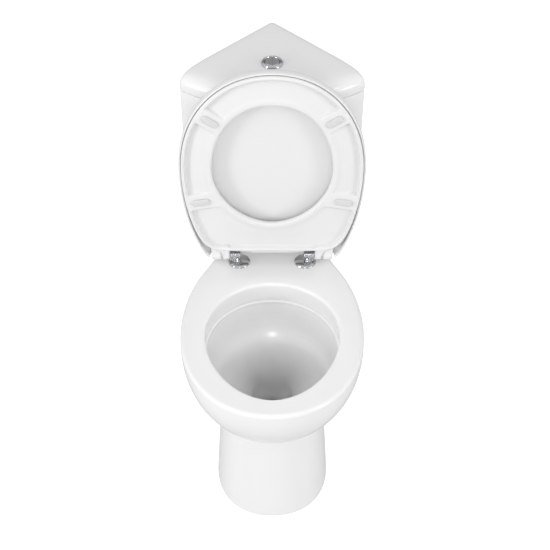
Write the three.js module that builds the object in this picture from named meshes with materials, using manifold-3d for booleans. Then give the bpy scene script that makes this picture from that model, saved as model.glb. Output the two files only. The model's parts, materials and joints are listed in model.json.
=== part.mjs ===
// A corner close coupled toilet: a vitreous china pan and corner cistern, a push button lid,
// a plastic seat and cover on a chrome hinge, and the fittings inside the cistern.
//
// Places are written as (s, d, z) in millimetres. s is sideways from the middle, d is forwards
// from the room corner behind the cistern, and z is up from the floor. The front faces -Y.

import * as THREE from 'three';
import { mergeVertices } from 'three/addons/utils/BufferGeometryUtils.js';
import Module from 'manifold-3d';

const wasm = await Module();
wasm.setup();

// ---------------------------------------------------------------- overall sizes
const TOTAL_DEPTH = 794; // room corner to the front of the rim
const TOTAL_HEIGHT = 780; // floor to the top of the cistern lid
const RIM_HEIGHT = 402; // floor to the top of the rim
const RIM_HALF = 186; // half the width of the rim
const LID_HALF = 190; // half the width of the cistern lid

const GAP = 0.3; // clearance between pieces that rest on each other
const RUN = 0.6; // radial clearance round a pin or a shaft

// ---------------------------------------------------------------- cistern and lid
const CORNER_R = 12; // rounding of the back corner
const NOSE = 74; // how far the bowed front stands ahead of the side corners
const BOW_R = 313; // radius of the bowed front, in plan
const WALL_LENGTH = 55; // handle of the side corner along the room's wall
const FRONT_LENGTH = 38; // handle of the side corner along the bowed front
const CHINA = 9; // cistern wall
const FLOOR_CHINA = 10; // cistern floor
const LID_LIP = 4; // lid beyond the cistern at the front
const LID_SKIRT = 40; // height of the lid
const LID_CHINA = 9; // thickness of the lid
const TANK_TAPER = 6; // how much the front draws in towards the bottom
const BACK_INSET = 3; // cistern behind the lid at the room's walls

// ---------------------------------------------------------------- pan
const WALL = 10; // pan wall
const DECK = 14; // top of the rim
const LIP = 10; // inner wall of the rim
const LIP_DEPTH = 52; // height of the inner wall of the rim
const CHANNEL = 20; // width of the flush channel inside the rim
const RIM_TAIL = 77; // back of the rim's egg behind the hinge axis
const WIDEST_SHARE = 0.4665; // widest place of the rim, as a share of the bowl's length
const HINGE_GAP = 82; // hinge axis ahead of the cistern's nose
const RIM_TO_OPENING = 48; // rim top, from its outer edge to the bowl's opening at the front
const OPENING_HALF = 136.5; // half the width of the bowl's opening
const OPENING_BACK = 71; // back of the opening, ahead of the hinge axis
const BULB_DRAW = 92; // how much the bowl's outside draws in down to the neck
const BULB_DROP = 157; // height over which it draws in
const BULB_POWER = 2.32;
const FOOT_HALF = 118; // half the width of the foot at the floor
const FOOT_SETBACK = 86; // foot's front behind the rim's front
const NECK_DRAW = 13; // how much the foot's sides draw in up to the neck
const NECK_HEIGHT = 240; // height of the neck
const LEG_HALF = 95; // half the width of the narrower back of the foot
const LEG_BACK = 205; // back of the foot
const SHELF_HALF = 112; // half the width of the shelf under the cistern
const SHELF_BACK = 110; // back of the shelf
const SHELF_CHINA = 22; // thickness of the shelf
const DUCT_HALF = 32; // half the width of the flush duct under the shelf
const DUCT_DROP = 36; // roof of the flush duct below the rim's top
const DUCT_HEIGHT = 26;
const INLET_R = 42; // recess that takes the valve's nut and the sealing ring
const THROAT_R = 27; // hole under the recess
const RECESS = 26; // depth of the recess
const SUMP_AHEAD = 128; // middle of the sump ahead of the hinge axis
const TRAP_R = 32; // bore of the trapway
const TRAP_WALL = 8;
const TRAP_BEND = 46; // radius of the trapway's half turn
const SPIGOT_R = 51; // outside of the outlet
const SPIGOT_END = 110; // outlet's end
const OUTLET_HEIGHT = 185; // middle of the outlet above the floor

// ---------------------------------------------------------------- flush valve, fill valve
const VALVE_D = 159; // flush valve and push button
const VALVE_R = 32;
const VALVE_WALL = 4;
const TAIL_R = 28; // threaded tail of the flush valve
const TUBE_R = 11; // overflow tube
const VALVE_TOP = 130; // top of the valve tower below the lid's top
const FILL_SIDE = 58; // fill valve in from the widest side
const FILL_AHEAD = 44; // fill valve further forward than it is sideways
const FILL_R = 13;
const FILL_TAIL_R = 9.5;
const FILL_TAIL = 40; // tail below the cistern
const FLOAT_WIDE = 40;
const FLOAT_HIGH = 55;
const BOLT_S = 75; // cistern bolts, sideways
const BOLT_D = 165; // cistern bolts, forwards
const BOLT_R = 4;

// ---------------------------------------------------------------- push button
const BEZEL_R = 22.5;
const BEZEL_HEIGHT = 6;
const BUTTON_R = 15.5;
const BUTTON_TRAVEL = 8;

// ---------------------------------------------------------------- seat and cover
const TILT = 93.5; // raised seat, degrees from closed
const HINGE_RISE = 20; // hinge axis above the rim
const HINGE_S = 70; // hinge bolts, sideways
const PIN_R = 4;
const BARREL_R = 8;
const BARREL_SHIFT = 8; // middle of the hinge's barrel outside its bolt
const BARREL_LENGTH = 22;
const CAP_R = 23;
const CAP_HEIGHT = 6;
const SEAT_HALF = 185;
const SEAT_UNDER = -15; // underside of the closed seat from the hinge axis
const SEAT_TOP = 4;
const SEAT_BACK = 19; // back edge of the seat ahead of the hinge axis
const SEAT_SHORT = 4; // seat's tip behind the rim's front
const SEAT_BACK_HALF = 135.6; // half the width of the seat's egg at its back edge
const COVER_BACK_HALF = 137.5; // half the width of the cover's egg at its back edge
const FRONT_PAD = 101.5; // front buffers behind the seat's tip
const COVER_PAD = 59; // cover's buffers behind the seat's tip
const SEAT_HOLE_HALF = 122.6;
const SEAT_HOLE_BACK = 91.4;
const SEAT_RIM = 66.4; // seat, from its hole to its tip
const LUG_R = 10;
const SEAT_LUG_WIDE = 14.4;
const COVER_LUG_WIDE = 19.7;
const LUG_GAP = 3.6; // seat's lug to the cover's
const COVER_GAP = 2; // cover's skirt to the seat's edge
const COVER_SKIN = 4;
const COVER_TOP = 19;
const COVER_BACK = -4;
const SKIRT_UNDER = -9;

// ---------------------------------------------------------------- places that follow from them
const cisternDepth = LID_HALF + NOSE;
const hingeD = cisternDepth + HINGE_GAP;
const hingeZ = RIM_HEIGHT + HINGE_RISE;
const bowlLength = TOTAL_DEPTH - hingeD;
const rimD = hingeD + bowlLength * WIDEST_SHARE;
const tankBottom = RIM_HEIGHT + GAP;
const tankFloor = tankBottom + FLOOR_CHINA;
const lidBottom = TOTAL_HEIGHT - LID_SKIRT;
const tankTop = TOTAL_HEIGHT - LID_CHINA - 22;
const shelfUnder = RIM_HEIGHT - SHELF_CHINA;
const valveTop = TOTAL_HEIGHT - VALVE_TOP;
const fillS = -(LID_HALF - FILL_SIDE);
const fillD = LID_HALF - FILL_SIDE + FILL_AHEAD;
const barrelS = HINGE_S + BARREL_SHIFT;
const barrelIn = barrelS - BARREL_LENGTH / 2;
const barrelOut = barrelS + BARREL_LENGTH / 2;
const seatLug = [barrelOut + RUN, barrelOut + RUN + SEAT_LUG_WIDE];
const coverLug = [seatLug[1] + LUG_GAP, seatLug[1] + LUG_GAP + COVER_LUG_WIDE];
const footFront = TOTAL_DEPTH - FOOT_SETBACK;
const rimBack = rimD - hingeD + RIM_TAIL;

const group = new THREE.Group();

const CHINA_WHITE = { color: 0xf4f4f2, roughness: 0.08, metalness: 0 };
const SEAT_WHITE = { color: 0xf1f1ef, roughness: 0.22, metalness: 0 };
const PAD_GREY = { color: 0xd9dbda, roughness: 0.6, metalness: 0 };
const CHROME = { color: 0xd6d8da, roughness: 0.08, metalness: 1 };
const MIRROR = { color: 0xb9bcc0, roughness: 0.04, metalness: 1 };
const STEEL = { color: 0xb4b6b8, roughness: 0.35, metalness: 1 };
const BRASS = { color: 0xb99a52, roughness: 0.35, metalness: 1 };
const PLASTIC = { color: 0xe6e7e6, roughness: 0.45, metalness: 0 };
const GREY_PLASTIC = { color: 0x9ea3a6, roughness: 0.5, metalness: 0 };
const RUBBER = { color: 0x2b2c2d, roughness: 0.8, metalness: 0 };

// ---------------------------------------------------------------- solids
// Turns a closed three.js geometry into a solid: shared corners merged, faces pointing out.
function solid(geometry) {
  const bare = geometry.clone();
  bare.deleteAttribute('normal');
  bare.deleteAttribute('uv');
  const merged = mergeVertices(bare, 1e-3);
  const points = merged.attributes.position.array;
  const index = merged.index.array;
  const faces = [];
  let volume = 0;
  const corner = (i) => new THREE.Vector3().fromArray(points, 3 * i);
  for (let i = 0; i < index.length; i += 3) {
    const [a, b, c] = [index[i], index[i + 1], index[i + 2]];
    if (a === b || b === c || c === a) continue;
    faces.push([a, b, c]);
    volume += corner(a).dot(corner(b).cross(corner(c)));
  }
  const order = volume < 0 ? faces.map(([a, b, c]) => [a, c, b]) : faces;
  const mesh = new wasm.Mesh({
    numProp: 3,
    vertProperties: new Float32Array(points),
    triVerts: new Uint32Array(order.flat()),
  });
  return new wasm.Manifold(mesh);
}

const joined = (...pieces) => pieces.reduce((whole, piece) => whole.add(piece));
const cut = (whole, ...pieces) => pieces.reduce((rest, piece) => rest.subtract(piece), whole);

// Adds a finished solid to the group as a named piece.
function piece(name, shape, look) {
  const mesh = shape.getMesh();
  const geometry = new THREE.BufferGeometry();
  geometry.setAttribute('position', new THREE.BufferAttribute(mesh.vertProperties, 3));
  geometry.setIndex(new THREE.BufferAttribute(mesh.triVerts, 1));
  geometry.computeVertexNormals();
  const made = new THREE.Mesh(geometry, new THREE.MeshStandardMaterial(look));
  made.name = name;
  group.add(made);
}

// The row's Y of a distance d ahead of the room corner.
const rowY = (d) => TOTAL_DEPTH / 2 - d;

// Rings of points on a lathe's topology. place(t, ring) gives the (s, d, z) of each point.
// The skin ends in a pole at each end, unless the last ring is the first one again.
function skin(rings, around, place) {
  const profile = rings.map((ring, j) => new THREE.Vector2(1, j));
  const geometry = new THREE.LatheGeometry(profile, around);
  const position = geometry.attributes.position;
  for (let i = 0; i <= around; i += 1) {
    rings.forEach((ring, j) => {
      const [s, d, z] = place(i % around, ring);
      position.setXYZ(i * rings.length + j, s, rowY(d), z);
    });
  }
  return solid(geometry);
}

// Distance from an egg's middle to its outline. turn is 0 straight ahead.
function eggRadius(egg, turn) {
  const ahead = Math.cos(turn);
  const length = ahead >= 0 ? egg.front : egg.back;
  const power = ahead >= 0 ? egg.frontPower : egg.backPower;
  const side = (Math.abs(Math.sin(turn)) / egg.half) ** power;
  const round = (side + (Math.abs(ahead) / length) ** power) ** (-1 / power);
  if (!egg.flatBack || ahead >= 0) return round;
  const flat = egg.flatBack / Math.abs(ahead);
  return (round ** -egg.soft + flat ** -egg.soft) ** (-1 / egg.soft);
}

function onEgg(egg, turn) {
  const reach = eggRadius(egg, turn);
  return [reach * Math.sin(turn), egg.middle + reach * Math.cos(turn)];
}

// A solid of egg-shaped levels, each with its z.
function eggStack(levels, around) {
  const pole = (level) => ({ ...level, pole: true });
  const rings = [pole(levels[0]), ...levels, pole(levels.at(-1))];
  return skin(rings, around, (i, level) => {
    if (level.pole) return [0, level.middle, level.z];
    const turn = (2 * Math.PI * i) / around;
    return [...onEgg(level, turn), level.z];
  });
}

// A solid of revolution about an upright axis. profile lists (radius, z) up the outside and
// down the inside, and it starts and ends on the axis or closes on itself.
function turned(s, d, profile, around = 16) {
  const points = profile.map(([r, z]) => new THREE.Vector2(r, z));
  const geometry = new THREE.LatheGeometry(points, around);
  geometry.rotateX(Math.PI / 2);
  geometry.translate(s, rowY(d), 0);
  return solid(geometry);
}

const rod = (s, d, r, low, high, around = 16) =>
  turned(s, d, [[0, low], [r, low], [r, high], [0, high]], around);

const tube = (s, d, outer, inner, low, high, around = 16) =>
  turned(s, d, [[inner, low], [outer, low], [outer, high], [inner, high], [inner, low]], around);

// A round bar along X.
function crossBar(from, to, d, z, r, around = 16) {
  const geometry = new THREE.CylinderGeometry(r, r, to - from, around);
  geometry.rotateZ(Math.PI / 2);
  geometry.translate((from + to) / 2, rowY(d), z);
  return solid(geometry);
}

function block(s0, s1, d0, d1, z0, z1) {
  const geometry = new THREE.BoxGeometry(s1 - s0, d1 - d0, z1 - z0);
  geometry.translate((s0 + s1) / 2, rowY((d0 + d1) / 2), (z0 + z1) / 2);
  return solid(geometry);
}

// A flat outline of (s, d) points raised from one height to another.
function raised(points, low, high) {
  const shape = new THREE.Shape(points.map(([s, d]) => new THREE.Vector2(s, rowY(d))));
  const geometry = new THREE.ExtrudeGeometry(shape, { depth: high - low, bevelEnabled: false });
  geometry.translate(0, 0, low);
  return solid(geometry);
}

// A round pipe along (d, z) points on the middle plane.
function pipe(points, r, steps, around) {
  const curve = new THREE.CatmullRomCurve3(points.map(([d, z]) => new THREE.Vector3(0, rowY(d), z)));
  const ring = new THREE.Shape();
  ring.absarc(0, 0, r, 0, 2 * Math.PI, false);
  const options = { extrudePath: curve, steps, curveSegments: around, bevelEnabled: false };
  return solid(new THREE.ExtrudeGeometry(ring, options));
}

// ---------------------------------------------------------------- pan
// The rim's outline, drawn in all round by inset.
function rimEgg(z, inset) {
  return {
    z,
    middle: rimD,
    half: RIM_HALF - inset,
    front: TOTAL_DEPTH - rimD - inset,
    back: rimBack - inset,
    frontPower: 2.15,
    backPower: 2,
  };
}

// The bowl's opening, let out all round by grow.
function openingEgg(z, grow) {
  const middle = rimD + 5;
  return {
    z,
    middle,
    half: OPENING_HALF + grow,
    front: TOTAL_DEPTH - RIM_TO_OPENING - middle + grow,
    back: middle - hingeD - OPENING_BACK + grow,
    frontPower: 1.9,
    backPower: 2,
  };
}

const bulbDraw = (z) => {
  const drop = Math.max(RIM_HEIGHT - 10 - z, 0);
  return BULB_DRAW * (drop / BULB_DROP) ** BULB_POWER;
};

function bulb(wall) {
  const top = wall ? RIM_HEIGHT - DECK : RIM_HEIGHT;
  const drops = [176, 150, 128, 106, 84, 62, 38];
  const levels = drops.map((drop) => {
    const z = RIM_HEIGHT - drop;
    return rimEgg(z, bulbDraw(z) + wall);
  });
  if (wall) levels.push(rimEgg(top, wall));
  else levels.push(rimEgg(RIM_HEIGHT - 7, 0), rimEgg(RIM_HEIGHT - 2, 1.5), rimEgg(RIM_HEIGHT, 6));
  return eggStack(levels, 32);
}

function column(wall, low) {
  const middle = rimD + 15;
  const levels = [low, NECK_HEIGHT * 0.5, NECK_HEIGHT * 1.2].map((z) => {
    const rise = Math.max(z, 0) / NECK_HEIGHT;
    return {
      z,
      middle,
      half: FOOT_HALF - NECK_DRAW * rise - wall,
      front: footFront - middle - 6 * rise - wall,
      back: middle - hingeD - 24 - wall,
      frontPower: 2.2,
      backPower: 3,
    };
  });
  return eggStack(levels, 28);
}

function leg(wall, low, high) {
  const middle = (LEG_BACK + rimD) / 2;
  const level = (z) => ({
    z,
    middle,
    half: LEG_HALF - wall,
    front: rimD - middle,
    back: middle - LEG_BACK - wall,
    frontPower: 4,
    backPower: 6,
  });
  return eggStack([level(low), level(high)], 20);
}

function shelf() {
  const side = [
    [SHELF_HALF - 34, SHELF_BACK],
    [SHELF_HALF, SHELF_BACK + 34],
    [SHELF_HALF + 2, hingeD - 46],
    [RIM_HALF - 62, hingeD - 1],
    [RIM_HALF - 62, hingeD + 60],
  ];
  const mirrored = side.map(([s, d]) => [-s, d]).reverse();
  return raised([...side, ...mirrored], shelfUnder, RIM_HEIGHT);
}

// The bowl's water space below the rim, let out by grow for the china round it.
// Each step is: drop below the rim, half width, front wall behind the opening's front, and
// back wall ahead of the hinge axis. The back wall leans out to a shoulder, then falls to the sump.
const BOWL_STEPS = [
  [90, 132, 11, 78],
  [118, 120, 28, 91],
  [133, 111, 42, 102],
  [157, 101, 62, 106],
  [207, 75, 129, 102],
  [250, 51, 190, 98],
  [268, 43, 208, 96],
  [298, 37, 232, 95],
];

function bowl(grow) {
  const under = openingEgg(RIM_HEIGHT - DECK + (grow ? 4 : 0), LIP + CHANNEL + grow);
  const ledge = openingEgg(RIM_HEIGHT - LIP_DEPTH, LIP + CHANNEL + grow - 4);
  const deepest = BOWL_STEPS.at(-1)[0];
  const levels = BOWL_STEPS.map(([drop, half, behind, ahead]) => {
    const front = TOTAL_DEPTH - RIM_TO_OPENING - behind;
    const back = hingeD + ahead;
    const middle = back + (front - back) * 0.45;
    return {
      z: RIM_HEIGHT - drop - (drop === deepest ? grow : 0),
      middle,
      half: half + grow,
      front: front - middle + grow,
      back: middle - back + grow,
      frontPower: 2,
      backPower: 2,
    };
  });
  return eggStack([...levels.reverse(), ledge, under], 28);
}

// The trapway's middle as (d, z): down from the sump, round a half turn, up and over to the outlet.
function trapPoints() {
  const sump = hingeD + SUMP_AHEAD;
  const low = RIM_HEIGHT - BOWL_STEPS.at(-1)[0];
  const turn = low - 12;
  const bend = [20, 55, 90, 125, 160].map((degrees) => {
    const angle = THREE.MathUtils.degToRad(degrees);
    return [sump - TRAP_BEND * (1 - Math.cos(angle)), turn - TRAP_BEND * Math.sin(angle)];
  });
  const rise = sump - 2 * TRAP_BEND;
  return [
    [sump, low + 24],
    ...bend,
    [rise - 2, turn + 30],
    [rise - 8, turn + 76],
    [rise - 22, OUTLET_HEIGHT + 24],
    [rise - 56, OUTLET_HEIGHT + 46],
    [rise - 96, OUTLET_HEIGHT + 38],
    [rise - 132, OUTLET_HEIGHT + 14],
    [rise - 162, OUTLET_HEIGHT + 2],
    [LEG_BACK - 20, OUTLET_HEIGHT],
    [SPIGOT_END + 10, OUTLET_HEIGHT],
  ];
}

function alongY(s, d0, d1, z, r, around = 20) {
  const geometry = new THREE.CylinderGeometry(r, r, d1 - d0, around);
  geometry.translate(s, rowY((d0 + d1) / 2), z);
  return solid(geometry);
}

function floorEar(side) {
  const [inner, outer] = [LEG_HALF - 8, FOOT_HALF - 2];
  return block(Math.min(side * inner, side * outer), Math.max(side * inner, side * outer), 285, 315, 0, 14);
}

const earS = (LEG_HALF + FOOT_HALF - 2) / 2;

function buildPan() {
  const high = RIM_HEIGHT - DECK;
  const outside = joined(bulb(0), column(0, 0), leg(0, 0, shelfUnder + 4), shelf());
  const hollow = joined(bulb(WALL), column(WALL, -5), leg(WALL, -5, shelfUnder - 4));
  const ductRoof = RIM_HEIGHT - DUCT_DROP;
  const ductFloor = ductRoof - DUCT_HEIGHT;
  const ductFront = hingeD + OPENING_BACK - LIP;
  const boxBack = SHELF_BACK + 2;
  const ductBox = block(-DUCT_HALF - 10, DUCT_HALF + 10, boxBack, ductFront - 8, ductFloor - 10, high + 2);
  const duct = block(-DUCT_HALF, DUCT_HALF, boxBack + 10, ductFront, ductFloor, ductRoof);
  const boss = rod(0, VALVE_D, INLET_R + 7, ductFloor - 10, RIM_HEIGHT - 1, 24);
  const trap = pipe(trapPoints(), TRAP_R + TRAP_WALL, 26, 6);
  const spigot = alongY(0, SPIGOT_END, LEG_BACK + 30, OUTLET_HEIGHT, SPIGOT_R);
  const skinned = cut(outside, hollow);
  const room = joined(outside, spigot, ductBox);
  const inner = joined(bowl(WALL - 1), trap).intersect(room);
  const ears = joined(floorEar(1), floorEar(-1));
  const cast = joined(skinned, inner, spigot, ductBox, boss.intersect(room), cut(ears, hollow));

  const bore = joined(
    pipe(trapPoints(), TRAP_R, 26, 6),
    alongY(0, SPIGOT_END - 5, LEG_BACK - 40, OUTLET_HEIGHT, TRAP_R + 8),
  );
  const recess = rod(0, VALVE_D, INLET_R, RIM_HEIGHT - RECESS, RIM_HEIGHT + 5, 24);
  const throat = rod(0, VALVE_D, THROAT_R, ductFloor + 5, RIM_HEIGHT, 24);
  const opened = cut(cast, bowl(0), duct, recess, throat, bore);

  const lipRings = [
    openingEgg(RIM_HEIGHT, 0),
    openingEgg(RIM_HEIGHT - LIP_DEPTH + 6, 0),
    openingEgg(RIM_HEIGHT - LIP_DEPTH, 4),
    openingEgg(RIM_HEIGHT - LIP_DEPTH + 4, LIP),
    openingEgg(RIM_HEIGHT - DECK + 2, LIP),
    openingEgg(RIM_HEIGHT - DECK + 2, LIP + 14),
    openingEgg(RIM_HEIGHT - 1, LIP + 14),
    openingEgg(RIM_HEIGHT - 1, 4),
    openingEgg(RIM_HEIGHT, 0),
  ];
  const lip = skin(lipRings, 32, (i, ring) => [...onEgg(ring, (2 * Math.PI * i) / 32), ring.z]);
  const mouth = eggStack([openingEgg(RIM_HEIGHT - LIP_DEPTH - 1, 0), openingEgg(RIM_HEIGHT + 5, 0)], 32);
  const holes = [1, -1].flatMap((side) => [
    rod(side * HINGE_S, hingeD, 6.5, high - 10, RIM_HEIGHT + 5, 12),
    rod(side * BOLT_S, BOLT_D, BOLT_R + 2, shelfUnder - 5, RIM_HEIGHT + 5, 12),
    rod(side * earS, 300, 4.5, -5, 20, 12),
  ]);
  return cut(joined(opened, lip), mouth, ...holes);
}

piece('pan', buildPan(), CHINA_WHITE);

// ---------------------------------------------------------------- cistern and lid
// The cistern's plan as (s, d) points: back draws in from the room's walls, front from the bow.
function cornerPlan(back, front) {
  const round = Math.max(CORNER_R - back, 3);
  const apex = back * Math.SQRT2 - (Math.SQRT2 - 1) * CORNER_R;
  const wallS = LID_HALF - 32 - front;
  const noseS = LID_HALF - 22 - front;
  const bow = BOW_R - front;
  const bowD = cisternDepth - BOW_R;
  const lean = Math.asin(noseS / bow);
  const start = new THREE.Vector2(wallS, wallS + apex);
  const end = new THREE.Vector2(noseS, bowD + Math.sqrt(bow ** 2 - noseS ** 2));
  const along = new THREE.Vector2(1, 1).multiplyScalar(WALL_LENGTH * Math.SQRT1_2);
  const across = new THREE.Vector2(Math.cos(lean), -Math.sin(lean)).multiplyScalar(FRONT_LENGTH);
  const corner = new THREE.CubicBezierCurve(start, start.clone().add(along), end.clone().add(across), end);
  const side = [];
  for (const turn of [22.5, 45]) {
    const angle = THREE.MathUtils.degToRad(turn);
    side.push([round * Math.sin(angle), apex + round * Math.SQRT2 - round * Math.cos(angle)]);
  }
  corner.getPoints(7).forEach((point) => side.push([point.x, point.y]));
  for (const share of [0.66, 0.33]) {
    const angle = lean * share;
    side.push([bow * Math.sin(angle), bowD + bow * Math.cos(angle)]);
  }
  const tip = [0, bowD + bow];
  const heel = [0, apex + round * (Math.SQRT2 - 1)];
  return [heel, ...side, tip, ...side.map(([s, d]) => [-s, d]).reverse()];
}

// A solid of cistern plans, each level with its z and its two insets.
function planStack(levels) {
  const plans = levels.map(([z, back, front]) => ({ z, points: cornerPlan(back, front) }));
  const pole = (plan) => ({ ...plan, pole: true });
  const rings = [pole(plans[0]), ...plans, pole(plans.at(-1))];
  return skin(rings, plans[0].points.length, (i, plan) => {
    if (plan.pole) return [0, VALVE_D, plan.z];
    return [...plan.points[i], plan.z];
  });
}

function buildCistern() {
  const side = LID_LIP;
  const outside = planStack([
    [tankBottom, BACK_INSET + 10, side + TANK_TAPER + 12],
    [tankBottom + 4, BACK_INSET + 3, side + TANK_TAPER + 4],
    [tankBottom + 12, BACK_INSET, side + TANK_TAPER],
    [tankTop - 60, BACK_INSET, side + 1],
    [tankTop, BACK_INSET, side],
  ]);
  const inside = planStack([
    [tankFloor, BACK_INSET + CHINA + 4, side + TANK_TAPER + CHINA + 6],
    [tankFloor + 10, BACK_INSET + CHINA, side + TANK_TAPER + CHINA],
    [tankTop + 5, BACK_INSET + CHINA, side + CHINA],
  ]);
  const holes = [
    rod(0, VALVE_D, TAIL_R + 1, tankBottom - 5, tankFloor + 5, 20),
    rod(fillS, fillD, FILL_TAIL_R + 1, tankBottom - 5, tankFloor + 5, 16),
    rod(BOLT_S, BOLT_D, BOLT_R + 1, tankBottom - 5, tankFloor + 5, 12),
    rod(-BOLT_S, BOLT_D, BOLT_R + 1, tankBottom - 5, tankFloor + 5, 12),
  ];
  return cut(outside, inside, ...holes);
}

function buildLid() {
  const top = TOTAL_HEIGHT;
  const outside = planStack([
    [lidBottom, 1, 1.5],
    [lidBottom + 3, 0, 0],
    [top - 22, 0, 0.5],
    [top - 12, 0, 5],
    [top - 5, 0, 15],
    [top - 1.5, 1, 30],
    [top, 5, 55],
  ]);
  // the hollow clears the cistern's rim, which stands up inside the lid's skirt
  const clear = tankTop + GAP;
  const inside = planStack([
    [lidBottom - 5, BACK_INSET - 1, LID_LIP - 1],
    [clear, BACK_INSET - 1, LID_LIP - 1],
    [clear + 0.5, BACK_INSET + 5, LID_LIP + 9],
    [top - LID_CHINA - 4, BACK_INSET + 8, 28],
    [top - LID_CHINA, BACK_INSET + 12, 55],
  ]);
  const hole = rod(0, VALVE_D, BUTTON_R + 3.5, top - 40, top + 5, 20);
  return cut(outside, inside, hole);
}

piece('cistern', buildCistern(), CHINA_WHITE);
piece('cistern_lid', buildLid(), CHINA_WHITE);

// ---------------------------------------------------------------- push button
const shaftR = BUTTON_R + 0.5;
const lidUnder = TOTAL_HEIGHT - LID_CHINA;

function buildBezel() {
  const low = TOTAL_HEIGHT + GAP;
  return turned(0, VALVE_D, [
    [shaftR, low],
    [BEZEL_R, low],
    [BEZEL_R - 0.8, low + BEZEL_HEIGHT * 0.55],
    [BEZEL_R - 3, low + BEZEL_HEIGHT],
    [BUTTON_R + 2.2, low + BEZEL_HEIGHT],
    [shaftR, low + BEZEL_HEIGHT * 0.6],
    [shaftR, low],
  ], 24);
}

function buildButtonBody() {
  return tube(0, VALVE_D, shaftR + 2, shaftR, lidUnder - 24, TOTAL_HEIGHT, 20);
}

// One half of the round button, with its stem down to the push rod.
function buildButton(side) {
  const low = lidUnder - 12;
  const high = TOTAL_HEIGHT + GAP + BEZEL_HEIGHT * 0.7;
  const disc = turned(0, VALVE_D, [
    [0, high - 6],
    [BUTTON_R, high - 6],
    [BUTTON_R, high - 1],
    [BUTTON_R * 0.6, high],
    [0, high + 0.2],
  ], 20);
  const keep = block(Math.min(side * 0.3, side * 20), Math.max(side * 0.3, side * 20),
    VALVE_D - 20, VALVE_D + 20, low - 5, high + 5);
  return joined(disc.intersect(keep), rod(side * 8, VALVE_D, 4, low, high - 3, 10));
}

const hexNut = (s, d, r, bore, low, high) =>
  rod(s, d, r, low, high, 6).subtract(rod(s, d, bore, low - 5, high + 5, 20));

piece('button_bezel', buildBezel(), CHROME);
piece('button_body', buildButtonBody(), PLASTIC);
piece('button_nut', tube(0, VALVE_D, shaftR + 11, shaftR + 2.9, lidUnder - 12, lidUnder - GAP, 12), PLASTIC);
piece('full_flush_button', buildButton(1), MIRROR);
piece('half_flush_button', buildButton(-1), MIRROR);

const rodTop = lidUnder - 12 - GAP;
const rodEnd = valveTop + BUTTON_TRAVEL + 4;
piece('full_push_rod', rod(8, VALVE_D, 2.5, rodEnd, rodTop, 10), GREY_PLASTIC);
piece('half_push_rod', rod(-8, VALVE_D, 2.5, rodEnd, rodTop, 10), GREY_PLASTIC);

// ---------------------------------------------------------------- flush valve
const seatLevel = tankFloor + 6;

function buildFlushValve() {
  const inner = VALVE_R - VALVE_WALL;
  const body = turned(0, VALVE_D, [
    [TAIL_R - 5, RIM_HEIGHT - RECESS + 4],
    [TAIL_R, RIM_HEIGHT - RECESS + 4],
    [TAIL_R, tankFloor + GAP],
    [VALVE_R + 5, tankFloor + GAP],
    [VALVE_R + 5, tankFloor + 5],
    [VALVE_R, tankFloor + 5],
    [VALVE_R, valveTop - 8],
    [inner, valveTop - 8],
    [inner, seatLevel],
    [TAIL_R - 5, seatLevel],
    [TAIL_R - 5, RIM_HEIGHT - RECESS + 4],
  ], 20);
  const windows = [0, 1].map((k) => {
    const [wide, long] = k ? [60, 12] : [12, 60];
    return block(-wide, wide, VALVE_D - long, VALVE_D + long, seatLevel + 4, seatLevel + 34);
  });
  const core = rod(0, VALVE_D, TUBE_R + 9, 0, TOTAL_HEIGHT, 12);
  return cut(body, ...windows.map((window) => window.subtract(core)));
}

function buildTowerCap() {
  return turned(0, VALVE_D, [
    [TUBE_R + RUN, valveTop - 8 + GAP],
    [VALVE_R + 1, valveTop - 8 + GAP],
    [VALVE_R + 1, valveTop - 4],
    [VALVE_R - 5, valveTop],
    [TUBE_R + RUN, valveTop],
    [TUBE_R + RUN, valveTop - 8 + GAP],
  ], 20);
}

piece('flush_valve_body', buildFlushValve(), PLASTIC);
piece('flush_valve_cap', buildTowerCap(), GREY_PLASTIC);
piece('overflow_tube', joined(
  tube(0, VALVE_D, TUBE_R, TUBE_R - 2.5, seatLevel + 5, valveTop - 14, 16),
  tube(0, VALVE_D, TUBE_R + 9, TUBE_R - 2.5, seatLevel + 4.5, seatLevel + 8, 16),
), GREY_PLASTIC);
piece('valve_seal', tube(0, VALVE_D, TAIL_R - 1, TUBE_R - 2, seatLevel + GAP, seatLevel + 4.2, 16), RUBBER);
const valveNut = hexNut(0, VALVE_D, INLET_R - 3, TAIL_R + 0.5, tankBottom - 10, tankBottom - GAP);
piece('flush_valve_nut', valveNut, PLASTIC);
piece('coupling_seal',
  tube(0, VALVE_D, INLET_R - 1, TAIL_R + 1, RIM_HEIGHT - RECESS + GAP, tankBottom - 10 - GAP, 20), RUBBER);

// ---------------------------------------------------------------- cistern bolts
function cisternBolt(name, side) {
  const s = side * BOLT_S;
  const head = tankFloor + 5;
  const bolt = joined(
    rod(s, BOLT_D, BOLT_R, shelfUnder - 24, head + 1, 12),
    rod(s, BOLT_D, 9, head, head + 5, 12),
  );
  piece(`${name}_cistern_bolt`, bolt, BRASS);
  piece(`${name}_bolt_washer`, tube(s, BOLT_D, 13, BOLT_R + 0.5, tankFloor + GAP, head - GAP, 12), RUBBER);
  const hub = tube(s, BOLT_D, 9, BOLT_R + 0.5, shelfUnder - 13, shelfUnder - GAP, 12);
  const wings = block(s - 15, s + 15, BOLT_D - 1.5, BOLT_D + 1.5, shelfUnder - 20, shelfUnder - 6);
  const clear = rod(s, BOLT_D, BOLT_R + 0.5, shelfUnder - 30, shelfUnder, 12);
  piece(`${name}_wing_nut`, joined(hub, wings).subtract(clear), BRASS);
}

cisternBolt('right', 1);
cisternBolt('left', -1);

// ---------------------------------------------------------------- fill valve and float
const fillTop = valveTop - 10;
const armD = fillD + 3 + RUN;
const pivotS = fillS + FILL_R + 9;

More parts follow.
